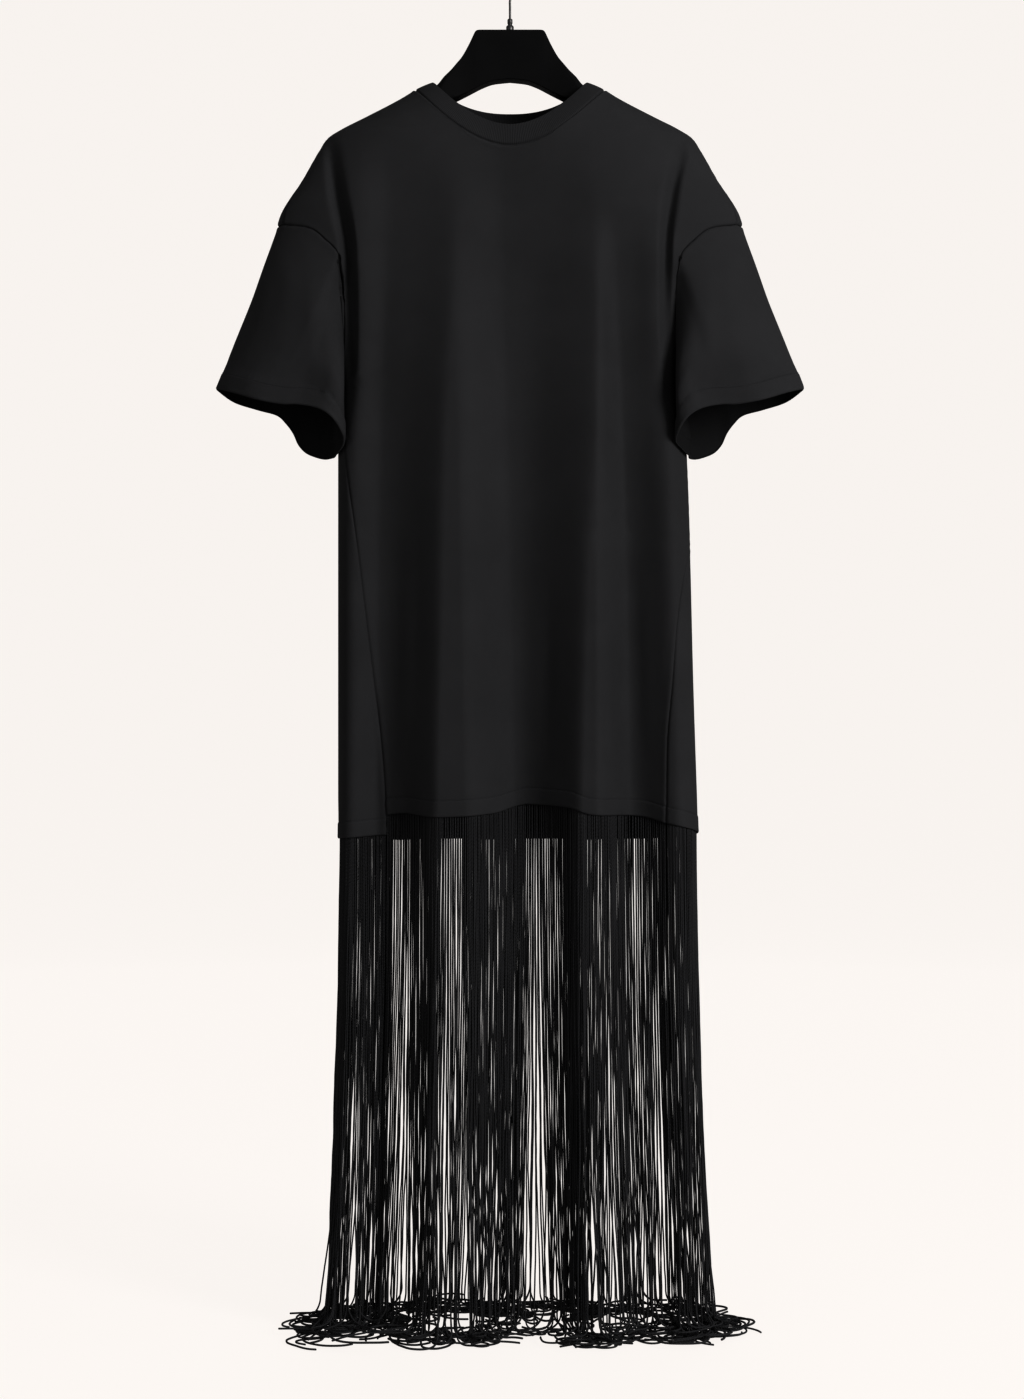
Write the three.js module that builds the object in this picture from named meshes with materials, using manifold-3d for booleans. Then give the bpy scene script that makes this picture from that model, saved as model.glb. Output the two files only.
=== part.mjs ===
// A black jersey t-shirt dress with a long fringe at its hem, hanging flat on a broad-necked hanger.
// Millimetres, +Z up. The dress faces -Y, and its left side in a front view is -X.
// The origin is the inside top of the hook, where a rail carries the whole thing.
// Each sewn piece is a thin wall: an outer surface worked out from named sizes and short tables,
// an inner one moved in by the cloth's thickness, and a rim that closes the two.
import * as THREE from "three";
import { mergeVertices } from "three/addons/utils/BufferGeometryUtils.js";
import Module from "manifold-3d";

const CLOTH = 2; // wall of the jersey
const SEAM_GAP = 0.3; // between two pieces along a seam
const FLOOR_Z = -1559; // the surface that the fringe pools on
const NECK_POINT = { x: 107, z: -160 }; // where the neck seam meets the shoulder seam
const NECK_SEAM = { frontZ: -231.5, backZ: -198, frontPower: 1.9, backPower: 2.4 };
const NECK_TOP = { x: 87, z: -151, frontY: -48, frontZ: -208, backY: 45, backZ: -176.5 };
const SIDE_SEAM_TOP_Z = -498; // the underarm

// How many steps each seam is cut into. Pieces that meet share their steps.
const STEPS = { shoulder: 9, neck: 18, armholeFront: 9, armholeBack: 10, side: 13, sleeve: 7, band: 2 };
const STEP_GROWTH = 1.3; // steps down an armhole start short, where the cloth turns over the shoulder
const TOP_FADE = 4.5; // how soon a panel's rows stop following its shoulders and neck

// Sections through the body: half widths to the left and right, depths to the front and back,
// and how much of each half width goes into the rounded end.
const BODY_SECTIONS = [
  { z: -160, left: 107, right: 107, front: 40, back: 40, round: 107 },
  { z: -170, left: 123, right: 123, front: 45, back: 44, round: 123 },
  { z: -193, left: 167, right: 167, front: 49, back: 47, round: 150 },
  { z: -204, left: 189, right: 189, front: 50, back: 48, round: 158 },
  { z: -215, left: 206, right: 206, front: 51, back: 48, round: 158 },
  { z: -227, left: 214, right: 214, front: 52, back: 49, round: 150 },
  { z: -260, left: 233, right: 233, front: 53, back: 50, round: 148 },
  { z: -314, left: 262, right: 262, front: 54, back: 51, round: 170 },
  { z: -354, left: 262, right: 262, front: 55, back: 52, round: 170 },
  { z: -378, left: 225, right: 225, front: 55, back: 53, round: 133 },
  { z: -408, left: 205, right: 205, front: 56, back: 54, round: 113 },
  { z: -448, left: 196, right: 196, front: 60, back: 56, round: 104 },
  { z: -498, left: 191.5, right: 191.5, front: 62, back: 58, round: 99.5 },
  { z: -548, left: 194, right: 198, front: 63, back: 60, round: 100 },
  { z: -670, left: 194, right: 203, front: 66, back: 64, round: 100 },
  { z: -828, left: 194, right: 207, front: 69, back: 67, round: 100 },
  { z: -1010, left: 194, right: 213, front: 73, back: 70, round: 100 },
];

// The shoulder seam slips forward of the ridge towards the sleeve.
const SHOULDER_SEAM = [
  { z: -160, forward: 0 },
  { z: -215, forward: 0 },
  { z: -260, forward: 12 },
  { z: -314, forward: 38 },
];

// The armhole, as distances from the middle, with the underarm last.
const ARMHOLE_FRONT = [
  { x: 225, z: -321 },
  { x: 205, z: -336 },
  { x: 190, z: -354 },
  { x: 186, z: -378 },
  { x: 185, z: -408 },
  { x: 186, z: -448 },
  { x: 189.3, z: -485 },
];
const ARMHOLE_BACK = [{ x: 261.9, z: -314.5 }, { x: 248, z: -316 }, ...ARMHOLE_FRONT];

// The side seams swing to the front on their way down.
const SIDE_SEAM_LEFT = [
  { z: -588, x: 183 },
  { z: -702, x: 167 },
  { z: -828, x: 152 },
  { z: -927, x: 142 },
];
const SIDE_SEAM_RIGHT = [
  { z: -520, x: 204 },
  { z: -670, x: 204 },
  { z: -702, x: 197 },
  { z: -758, x: 188 },
  { z: -828, x: 181 },
  { z: -900, x: 175 },
];
const SEAM_FOOT = { leftX: -139, rightX: 174, frontLeftZ: -977.5, backLeftZ: -1000, rightZ: -986 };

// The hem dips and lifts with the folds; the back hangs lower than the front.
const HEM_FRONT = [
  { x: -139, z: -977.5 },
  { x: -116, z: -975 },
  { x: -86, z: -978 },
  { x: -19, z: -975 },
  { x: 20, z: -965.5 },
  { x: 63, z: -967.5 },
  { x: 89, z: -975 },
  { x: 147, z: -979 },
  { x: 174, z: -986 },
];
const HEM_BACK = [
  { across: -1, z: -1000 },
  { across: -0.7, z: -1005 },
  { across: -0.4, z: -1009 },
  { across: 0.4, z: -1009 },
  { across: 0.75, z: -999 },
  { across: 1, z: -986 },
];

// Hanging folds. Each row places a valley at a height: how deep it is, how far the cloth to its
// left takes to turn down into it, and how far the step up to its right takes.
const FRONT_FOLDS = [
  [
    { z: -215, x: -130, depth: 0, turn: 40, step: 66 },
    { z: -283, x: -133, depth: 6, turn: 40, step: 68 },
    { z: -396, x: -137, depth: 13, turn: 42, step: 68 },
    { z: -580, x: -143, depth: 22, turn: 44, step: 64 },
    { z: -670, x: -145, depth: 25, turn: 44, step: 64 },
    { z: -990, x: -147, depth: 32, turn: 42, step: 59 },
  ],
  [
    { z: -215, x: -6, depth: 0, turn: 50, step: 100 },
    { z: -283, x: -6, depth: 6, turn: 52, step: 100 },
    { z: -396, x: -6, depth: 13, turn: 58, step: 100 },
    { z: -580, x: -2, depth: 22, turn: 58, step: 90 },
    { z: -670, x: -2, depth: 25, turn: 58, step: 82 },
    { z: -990, x: 4, depth: 32, turn: 58, step: 66 },
  ],
  [
    { z: -300, x: 112, depth: 0, turn: 22, step: 62 },
    { z: -396, x: 112, depth: 7, turn: 22, step: 64 },
    { z: -470, x: 115, depth: 13, turn: 26, step: 62 },
    { z: -670, x: 124, depth: 22, turn: 36, step: 58 },
    { z: -990, x: 129, depth: 30, turn: 44, step: 63 },
  ],
  [
    { z: -212, x: -186, depth: 0, turn: 16, step: 20 },
    { z: -245, x: -182, depth: 12, turn: 16, step: 22 },
    { z: -350, x: -176, depth: 10, turn: 18, step: 26 },
    { z: -480, x: -174, depth: 6, turn: 14, step: 24 },
    { z: -560, x: -176, depth: 0, turn: 14, step: 24 },
  ],
  [
    { z: -212, x: 186, depth: 0, turn: 20, step: 16 },
    { z: -245, x: 182, depth: 12, turn: 22, step: 16 },
    { z: -350, x: 176, depth: 10, turn: 26, step: 18 },
    { z: -480, x: 174, depth: 6, turn: 24, step: 14 },
    { z: -560, x: 177, depth: 0, turn: 24, step: 14 },
  ],
];
const BACK_FOLDS = [
  [
    { z: -280, x: -116, depth: 0, turn: 30, step: 26 },
    { z: -500, x: -118, depth: 6, turn: 30, step: 26 },
    { z: -1010, x: -126, depth: 24, turn: 22, step: 36 },
  ],
  [
    { z: -300, x: -14, depth: 0, turn: 30, step: 30 },
    { z: -560, x: -18, depth: 5, turn: 30, step: 30 },
    { z: -1010, x: -30, depth: 22, turn: 24, step: 34 },
  ],
  [
    { z: -260, x: 104, depth: 0, turn: 26, step: 30 },
    { z: -500, x: 98, depth: 7, turn: 26, step: 30 },
    { z: -1010, x: 84, depth: 26, turn: 20, step: 38 },
  ],
  [
    { z: -212, x: -184, depth: 0, turn: 16, step: 20 },
    { z: -300, x: -178, depth: 12, turn: 16, step: 26 },
    { z: -480, x: -176, depth: 5, turn: 14, step: 24 },
    { z: -560, x: -176, depth: 0, turn: 14, step: 24 },
  ],
  [
    { z: -212, x: 184, depth: 0, turn: 20, step: 16 },
    { z: -300, x: 178, depth: 12, turn: 26, step: 16 },
    { z: -480, x: 176, depth: 5, turn: 24, step: 14 },
    { z: -560, x: 177, depth: 0, turn: 24, step: 14 },
  ],
];

// The open end of a sleeve, round its front and then round its back, as a distance from the
// middle. Both halves start at the tip and end where the sleeve lies against the body's side.
const SLEEVE_HEM_FRONT = [
  { x: 329, y: -8, z: -498.5 },
  { x: 310, y: -32, z: -505 },
  { x: 281, y: -50, z: -515 },
  { x: 254, y: -56, z: -520 },
  { x: 236, y: -57, z: -520.5 },
  { x: 217, y: -57, z: -524 },
  { x: 204, y: -56, z: -530 },
  { x: 194, y: -52, z: -539 },
  { x: 186.5, y: -46, z: -550 },
  { x: 184.5, y: -40, z: -558 },
  { x: 187, y: -32, z: -566 },
  { x: 193, y: -22, z: -572 },
  { x: 198.5, y: -4, z: -575.5 },
];
const SLEEVE_HEM_BACK = [
  { x: 331, y: 6, z: -498.5 },
  { x: 315, y: 30, z: -509 },
  { x: 290, y: 45, z: -516 },
  { x: 268, y: 48, z: -522 },
  { x: 257, y: 44, z: -532 },
  { x: 249, y: 44, z: -543 },
  { x: 243, y: 42, z: -556 },
  { x: 234, y: 35, z: -566 },
  { x: 222, y: 26, z: -572 },
  { x: 210, y: 15, z: -575.5 },
];
const SLEEVE_REST = 4; // how far a sleeve stays off the body's side that it lies on
const SLEEVE_FOLD = { out: 16, inwards: 3, at: 0.62, spread: 0.3 }; // the front fold beside the body

// Hanger: a plate under the hook that flares into two arms over an arch.
const HANGER_STATIONS = [
  { x: 0, top: -93.6, bottom: -148.8, depth: 22 },
  { x: 18, top: -93.6, bottom: -150.8, depth: 22 },
  { x: 33, top: -93.6, bottom: -156.2, depth: 22 },
  { x: 38, top: -94, bottom: -158.8, depth: 22 },
  { x: 41, top: -98.6, bottom: -160.4, depth: 22 },
  { x: 46.7, top: -111.4, bottom: -163.4, depth: 24 },
  { x: 54.5, top: -125, bottom: -167.2, depth: 26 },
  { x: 60.2, top: -131.8, bottom: -170, depth: 28 },
  { x: 66.4, top: -138.5, bottom: -173.2, depth: 30 },
  { x: 74.3, top: -145.3, bottom: -177.6, depth: 32 },
  { x: 84, top: -156, bottom: -183.5, depth: 33 },
  { x: 105, top: -165.5, bottom: -194, depth: 34 },
  { x: 128, top: -177.5, bottom: -205, depth: 34 },
  { x: 155, top: -191.5, bottom: -217, depth: 32 },
  { x: 180, top: -204.5, bottom: -229, depth: 30 },
  { x: 191, top: -212, bottom: -234.5, depth: 27 },
  { x: 197, top: -219, bottom: -235, depth: 20 },
  { x: 199, top: -223, bottom: -231, depth: 11 },
];
const HANGER_CORNERS = 12; // points round a section of the hanger
const FERRULE = { wide: 4.2, narrow: 2.8, shoulderZ: -87.5, topZ: -79.4 };
const WIRE_RADIUS = 1.2;
const HOOK = { radius: 20 + WIRE_RADIUS, startZ: -79.1, bendZ: -60, joinDeg: -38, endDeg: 205, steps: 36 };

// Fringe: a narrow strip under the hem, and strands that fall to the floor and bend out over it.
const FRINGE = { strip: 8, stripDepth: 3, spacing: 6, strand: 1.35, rootIn: 4, lift: 2.2 };
const POOL = { side: 44, face: 66, spread: 14 };

const MATERIALS = {
  jersey: new THREE.MeshStandardMaterial({ color: 0x1b1b1d, roughness: 0.95, metalness: 0, name: "jersey" }),
  rib: new THREE.MeshStandardMaterial({ color: 0x19191b, roughness: 0.95, metalness: 0, name: "rib" }),
  fringe: new THREE.MeshStandardMaterial({ color: 0x161618, roughness: 0.8, metalness: 0, name: "fringe" }),
  plastic: new THREE.MeshStandardMaterial({ color: 0x0c0c0d, roughness: 0.55, metalness: 0, name: "plastic" }),
  steel: new THREE.MeshStandardMaterial({ color: 0xb9bbbd, roughness: 0.3, metalness: 1, name: "steel" }),
};

const clamp01 = (k) => Math.min(1, Math.max(0, k));
const ease = (k) => clamp01(k) ** 2 * (3 - 2 * clamp01(k));
// A repeatable number from 0 to 1 for the nth strand, so that no two fall alike.
const scatter = (n, salt) => {
  const wave = Math.sin(n * 12.9898 + salt * 78.233) * 43758.5453;
  return wave - Math.floor(wave);
};

// A column of a table at a place between its rows, on a curve that never overshoots them.
function at(table, key, column, place) {
  const up = table[table.length - 1][key] > table[0][key];
  const rows = up ? table : table.slice().reverse();
  if (place <= rows[0][key]) return rows[0][column];
  const last = rows.length - 1;
  if (place >= rows[last][key]) return rows[last][column];
  const k = rows.findIndex((row) => row[key] > place) - 1;
  const slope = (n) => (rows[n + 1][column] - rows[n][column]) / (rows[n + 1][key] - rows[n][key]);
  const tangent = (n) => {
    if (n === 0 || n === last) return slope(Math.min(n, last - 1));
    const [a, b] = [slope(n - 1), slope(n)];
    return a * b <= 0 ? 0 : (2 * a * b) / (a + b);
  };
  const run = rows[k + 1][key] - rows[k][key];
  const t = (place - rows[k][key]) / run;
  const [v0, v1] = [rows[k][column], rows[k + 1][column]];
  const [m0, m1] = [tangent(k) * run, tangent(k + 1) * run];
  return (
    v0 * (2 * t ** 3 - 3 * t ** 2 + 1) + m0 * (t ** 3 - 2 * t ** 2 + t) +
    v1 * (3 * t ** 2 - 2 * t ** 3) + m1 * (t ** 3 - t ** 2)
  );
}

// One quarter of the body's section: a flat run from the middle, then a quarter of an ellipse.
function quarter(right, front, z) {
  const half = at(BODY_SECTIONS, "z", right ? "right" : "left", z);
  const depth = at(BODY_SECTIONS, "z", front ? "front" : "back", z);
  const round = Math.min(half, at(BODY_SECTIONS, "z", "round", z));
  const arc = (Math.PI / 2) * Math.sqrt((round ** 2 + depth ** 2) / 2);
  return { depth, round, arc, flat: half - round, length: half - round + arc };
}

function foldDepth(folds, x, z) {
  let deep = 0;
  for (const fold of folds) {
    const from = x - at(fold, "z", "x", z);
    const run = at(fold, "z", from < 0 ? "turn" : "step", z);
    const near = Math.min(1, Math.max(0, 1 - Math.abs(from) / run));
    const share = from < 0 ? ease(near) : 0.3 * ease(near) + 0.7 * (1 - (1 - near) ** 2);
    deep = Math.max(deep, at(fold, "z", "depth", z) * share);
  }
  return deep;
}

// A point of the cloth: s is how far it is round from the middle of its panel (minus to the
// left), and past the side the surface goes on round the other face.
function bodyPoint(front, s, z) {
  const right = s >= 0;
  let q = quarter(right, front, z);
  let run = Math.abs(s);
  let face = front;
  if (run > q.length) {
    const other = quarter(right, !front, z);
    run = other.length - (run - q.length);
    q = other;
    face = !front;
  }
  const turn = (Math.max(0, run - q.flat) / q.arc) * (Math.PI / 2);
  const x = (right ? 1 : -1) * (Math.min(run, q.flat) + q.round * Math.sin(turn));
  const folded = foldDepth(face ? FRONT_FOLDS : BACK_FOLDS, x, z) * Math.cos(turn);
  const y = q.depth * Math.cos(turn) - folded;
  return new THREE.Vector3(x, face ? -y : y, z);
}

// The way back: how far round a panel a given x lies.
function runTo(front, x, z) {
  const q = quarter(x >= 0, front, z);
  const beyond = Math.max(0, Math.abs(x) - q.flat) / q.round;
  const run = Math.min(Math.abs(x), q.flat) + (Math.asin(Math.min(1, beyond)) / (Math.PI / 2)) * q.arc;
  return Math.sign(x) * run;
}

// Steps along a curve through the given points, short at its start and longer towards its end.
function stepped(curve, steps) {
  const points = [];
  for (let i = 0; i <= steps; i++) points.push(curve.getPointAt((i / steps) ** STEP_GROWTH));
  return points;
}

// The pattern of one panel: its four edges, each a list of (s, z) with s round from the middle.
function panelEdges(front) {
  const length = (right, z) => quarter(right, front, z).length;
  // A place on the front face as this panel counts it: the back reaches it past its own side.
  const onFront = (x, z) => {
    const run = Math.abs(runTo(true, x, z));
    const whole = quarter(x >= 0, true, z).length;
    return Math.sign(x) * (front ? run : length(x >= 0, z) + whole - run);
  };
  const shoulder = (sign) => {
    const line = [];
    for (let i = 0; i <= STEPS.shoulder; i++) {
      const z = THREE.MathUtils.lerp(SHOULDER_SEAM.at(-1).z, NECK_POINT.z, i / STEPS.shoulder);
      const slip = at(SHOULDER_SEAM, "z", "forward", z) * (front ? -1 : 1);
      line.push(new THREE.Vector2(sign * (length(sign > 0, z) + slip), z));
    }
    return line;
  };
  const neck = [];
  for (let i = 0; i <= STEPS.neck; i++) {
    const sine = Math.sin((i / STEPS.neck - 0.5) * Math.PI);
    const low = front ? NECK_SEAM.frontZ : NECK_SEAM.backZ;
    const power = front ? NECK_SEAM.frontPower : NECK_SEAM.backPower;
    const z = low + (NECK_POINT.z - low) * Math.abs(sine) ** power;
    neck.push(new THREE.Vector2(runTo(front, NECK_POINT.x * sine, z), z));
  }
  const armhole = (sign) => {
    const top = shoulder(sign)[0];
    const rows = front ? ARMHOLE_FRONT : ARMHOLE_BACK;
    const points = rows.map((row) => new THREE.Vector2(runTo(front, sign * row.x, row.z), row.z));
    const under = new THREE.Vector2(sign * length(sign > 0, SIDE_SEAM_TOP_Z), SIDE_SEAM_TOP_Z);
    const curve = new THREE.SplineCurve([top, ...points, under]);
    return stepped(curve, front ? STEPS.armholeFront : STEPS.armholeBack);
  };
  const seamRows = (sign) => {
    const foot = { x: Math.abs(sign < 0 ? SEAM_FOOT.leftX : SEAM_FOOT.rightX) };
    foot.z = sign < 0 ? SEAM_FOOT.frontLeftZ : SEAM_FOOT.rightZ;
    const top = { x: quarter(sign > 0, true, SIDE_SEAM_TOP_Z).flat + 100, z: SIDE_SEAM_TOP_Z };
    return [top, ...(sign < 0 ? SIDE_SEAM_LEFT : SIDE_SEAM_RIGHT), foot];
  };
  const side = (sign) => {
    const rows = seamRows(sign);
    const line = [];
    for (let i = 0; i <= STEPS.side; i++) {
      let z = THREE.MathUtils.lerp(rows[0].z, rows.at(-1).z, i / STEPS.side);
      const x = at(rows, "z", "x", z);
      if (i === STEPS.side && !front && sign < 0) z = SEAM_FOOT.backLeftZ;
      line.push(new THREE.Vector2(onFront(sign * x, z), z));
    }
    return line;
  };
  const down = (sign) => [...armhole(sign), ...side(sign).slice(1)];
  const left = down(-1);
  const right = down(1);
  const top = [...shoulder(-1), ...neck.slice(1, -1), ...shoulder(1).reverse()];
  const bottom = [];
  const columns = top.length - 1;
  for (let i = 0; i <= columns; i++) {
    const across = i / columns;
    const s = THREE.MathUtils.lerp(left.at(-1).x, right.at(-1).x, across);
    // The front hem is listed by x, which the flat middle of the section gives directly.
    let z = at(HEM_BACK, "across", "z", across * 2 - 1);
    if (front) z = at(HEM_FRONT, "x", "z", bodyPoint(true, s, SEAM_FOOT.frontLeftZ).x);
    bottom.push(new THREE.Vector2(s, z));
  }
  bottom[0].copy(left.at(-1));
  bottom[columns].copy(right.at(-1));
  return { top, bottom, left, right };
}

// Fill a panel from its four edges, and carry each point from the pattern to the hanging form.
function panelGrid(front) {
  const { top, bottom, left, right } = panelEdges(front);
  const [columns, rows] = [top.length - 1, left.length - 1];
  const grid = [];
  const down = [0];
  for (let j = 1; j <= rows; j++) down.push(down[j - 1] + left[j].distanceTo(left[j - 1]));
  for (let j = 0; j <= rows; j++) {
    const low = 1 - (1 - down[j] / down[rows]) ** TOP_FADE;
    const high = 1 - low;
    const line = [];
    for (let i = 0; i <= columns; i++) {
      const u = i / columns;
      const mix = (key) =>
        high * top[i][key] + low * bottom[i][key] + (1 - u) * left[j][key] + u * right[j][key] -
        (1 - u) * high * top[0][key] - u * high * top[columns][key] -
        (1 - u) * low * bottom[0][key] - u * low * bottom[columns][key];
      line.push(bodyPoint(front, mix("x"), mix("y")));
    }
    grid.push(front ? line : line.reverse());
  }
  return grid;
}


// Keep a point of the sleeve outside the body's side by the given clearance.
function restOutside(point, clearance) {
  const q = quarter(point.x > 0, point.y < 0, point.z);
  const sign = Math.sign(point.x);
  const dx = (Math.abs(point.x) - q.flat) / (q.round + clearance);
  const dy = point.y / (q.depth + clearance);
  const reach = Math.hypot(dx, dy);
  if (dx <= 0 || reach >= 1) return point;
  return point.set(sign * (q.flat + (dx / reach) * (q.round + clearance)), (point.y / reach), point.z);
}

// A sleeve runs from the armhole that the two panels leave to its own hem.
function sleeveGrid(sign, frontEdge, backEdge) {
  const place = ({ x, y, z }) => new THREE.Vector3(sign * x, y, z);
  const hemFront = stepped(new THREE.CatmullRomCurve3(SLEEVE_HEM_FRONT.map(place)), STEPS.armholeFront);
  const lastFront = SLEEVE_HEM_FRONT.at(-1);
  const hemBackPlaces = [SLEEVE_HEM_FRONT[0], ...SLEEVE_HEM_BACK, lastFront].map(place);
  const hemBack = stepped(new THREE.CatmullRomCurve3(hemBackPlaces), STEPS.armholeBack);
  const ring = (front, back) => [...front, ...back.slice(1, -1).reverse()];
  const start = ring(frontEdge, backEdge);
  const end = ring(hemFront, hemBack);
  const grid = [];
  for (let j = 0; j <= STEPS.sleeve; j++) {
    const v = j / STEPS.sleeve;
    const line = start.map((from, i) => {
      const point = from.clone().lerp(end[i], v);
      if (j === 0) return point;
      const round = i / STEPS.armholeFront;
      const near = Math.max(0, 1 - Math.abs(round - SLEEVE_FOLD.at) / SLEEVE_FOLD.spread);
      const swell = ease(near) * 4 * v * (1 - v);
      point.y -= SLEEVE_FOLD.out * swell;
      point.x -= sign * SLEEVE_FOLD.inwards * swell;
      return restOutside(point, SLEEVE_REST);
    });
    grid.push(sign < 0 ? line : line.reverse());
  }
  return grid;
}

// The ribbed band stands up from the neck seam and leans in to its top edge.
function bandGrid(seam) {
  const grid = [];
  for (let j = 0; j <= STEPS.band; j++) {
    const v = j / STEPS.band;
    grid.push(
      seam.map((from) => {
        const sine = from.x / NECK_POINT.x;
        const cosine = Math.sqrt(Math.max(0, 1 - sine ** 2));
        const front = from.y < 0;
        const lowZ = front ? NECK_TOP.frontZ : NECK_TOP.backZ;
        const power = front ? NECK_SEAM.frontPower : NECK_SEAM.backPower;
        const top = new THREE.Vector3(
          NECK_TOP.x * sine,
          (front ? NECK_TOP.frontY : NECK_TOP.backY) * cosine,
          lowZ + (NECK_TOP.z - lowZ) * Math.abs(sine) ** power,
        );
        return from.clone().lerp(top, v);
      }),
    );
  }
  // Rows run from the top edge down, so that the outer side faces away from the neck.
  return grid.reverse();
}

// Normals of a grid, weighted by the area of the faces round each point.
function gridNormals({ grid, closed }) {
  const rows = grid.length;
  const columns = grid[0].length;
  const normals = grid.map((line) => line.map(() => new THREE.Vector3()));
  const spans = closed ? columns : columns - 1;
  for (let j = 0; j < rows - 1; j++)
    for (let i = 0; i < spans; i++) {
      const k = (i + 1) % columns;
      const face = new THREE.Vector3().crossVectors(
        grid[j + 1][k].clone().sub(grid[j][i]),
        grid[j][k].clone().sub(grid[j + 1][i]),
      );
      for (const [a, b] of [[j, i], [j, k], [j + 1, i], [j + 1, k]]) normals[a][b].add(face);
    }
  normals.forEach((line) => line.forEach((n) => n.normalize()));
  return normals;
}

// Where pieces meet along a seam they share one direction for their thickness, and each is
// moved half the seam's gap away from the others.
function fitSeams(pieces) {
  const meetings = new Map();
  for (const piece of pieces) {
    piece.normals = gridNormals(piece);
    const { grid, closed, normals } = piece;
    const [rows, columns] = [grid.length, grid[0].length];
    const wrap = (i) => (closed ? (i + columns) % columns : THREE.MathUtils.clamp(i, 0, columns - 1));
    for (let j = 0; j < rows; j++)
      for (let i = 0; i < columns; i++) {
        const onRow = j === 0 || j === rows - 1;
        const onColumn = !closed && (i === 0 || i === columns - 1);
        if (!onRow && !onColumn) continue;
        const inRow = j === 0 ? 1 : j === rows - 1 ? rows - 2 : j;
        const inColumn = onColumn ? (i === 0 ? 1 : columns - 2) : i;
        const into = grid[inRow][inColumn].clone().sub(grid[j][i]);
        let along = grid[j][wrap(i + 1)].clone().sub(grid[j][wrap(i - 1)]);
        if (!onRow) along = grid[j + 1][i].clone().sub(grid[j - 1][i]);
        const inward = into.clone().normalize();
        if (!(onRow && onColumn)) {
          inward.crossVectors(normals[j][i], along).normalize();
          if (inward.dot(into) < 0) inward.negate();
        }
        const key = grid[j][i].toArray().map((c) => Math.round(c * 1000)).join();
        if (!meetings.has(key)) meetings.set(key, []);
        meetings.get(key).push({ piece, i, j, inward, normal: normals[j][i] });
      }
  }
  for (const met of meetings.values()) {
    if (met.length < 2) continue;
    const groups = [...new Set(met.map((m) => m.piece.group))].map((name) => {
      const members = met.filter((m) => m.piece.group === name);
      const normal = new THREE.Vector3();
      const inward = new THREE.Vector3();
      members.forEach((m) => normal.add(m.normal) && inward.add(m.inward));
      return { members, normal: normal.normalize(), inward: inward.normalize() };
    });
    const shared = new THREE.Vector3();
    const inwards = new THREE.Vector3();
    groups.forEach((g) => shared.add(g.normal) && inwards.add(g.inward));
    if (groups.length > 1 && shared.length() < 0.8) {
      const way = Math.sign(shared.dot(inwards)) || 1;
      shared.addScaledVector(inwards.normalize(), way);
    }
    shared.normalize();
    const apart = (own, others) => {
      const away = own.clone();
      others.forEach((o) => away.addScaledVector(o, -1 / others.length));
      away.addScaledVector(shared, -away.dot(shared));
      return away.length() > 1e-6 ? away.normalize() : away;
    };
    for (const group of groups) {
      const rest = groups.filter((g) => g !== group).map((g) => g.inward);
      for (const m of group.members) {
        const move = new THREE.Vector3();
        if (rest.length) move.add(apart(group.inward, rest));
        const mates = group.members.filter((o) => o !== m).map((o) => o.inward);
        if (mates.length) move.add(apart(m.inward, mates));
        m.move = move.multiplyScalar(SEAM_GAP / 2 + 0.06);
        m.thick = shared;
      }
    }
  }
  for (const met of meetings.values())
    for (const m of met) {
      if (!m.move) continue;
      m.piece.grid[m.j][m.i] = m.piece.grid[m.j][m.i].clone().add(m.move);
      m.piece.normals[m.j][m.i] = m.thick;
    }
}

function geometryFrom(points, faces) {
  const geometry = new THREE.BufferGeometry();
  geometry.setAttribute("position", new THREE.Float32BufferAttribute(points.flatMap((p) => p.toArray()), 3));
  geometry.setIndex(faces.flat());
  return geometry;
}

// A closed wall: the outer grid, the same grid moved in by the cloth, and rims between them.
function wall({ grid, normals, closed }) {
  const [rows, columns] = [grid.length, grid[0].length];
  const outer = grid.flat();
  const inner = outer.map((p, n) => p.clone().addScaledVector(normals.flat()[n], -CLOTH));
  const faces = [];
  const quad = (a, b, c, d) => faces.push([a, b, c], [a, c, d]);
  const index = (j, i) => j * columns + (i % columns);
  const shift = outer.length;
  const spans = closed ? columns : columns - 1;
  for (let j = 0; j < rows - 1; j++)
    for (let i = 0; i < spans; i++) {
      const [a, b, c, d] = [index(j, i), index(j + 1, i), index(j + 1, i + 1), index(j, i + 1)];
      // Both sides are cut along the same, shorter diagonal, so the wall keeps its thickness.
      const first = outer[a].distanceTo(outer[c]) < outer[b].distanceTo(outer[d]);
      const cut = first ? [[a, b, c], [a, c, d]] : [[a, b, d], [b, c, d]];
      for (const [p, q, r] of cut) faces.push([p, q, r], [p + shift, r + shift, q + shift]);
    }
  const rim = (a, b) => quad(a, b, b + shift, a + shift);
  for (let i = 0; i < spans; i++) {
    rim(index(0, i), index(0, i + 1));
    rim(index(rows - 1, i + 1), index(rows - 1, i));
  }
  if (!closed)
    for (let j = 0; j < rows - 1; j++) {
      rim(index(j + 1, 0), index(j, 0));
      rim(index(j, columns - 1), index(j + 1, columns - 1));
    }
  // A quad (a, b, c, d) above turns the way its outer side faces, and each rim follows it.
  return geometryFrom([...outer, ...inner], faces);
}

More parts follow.
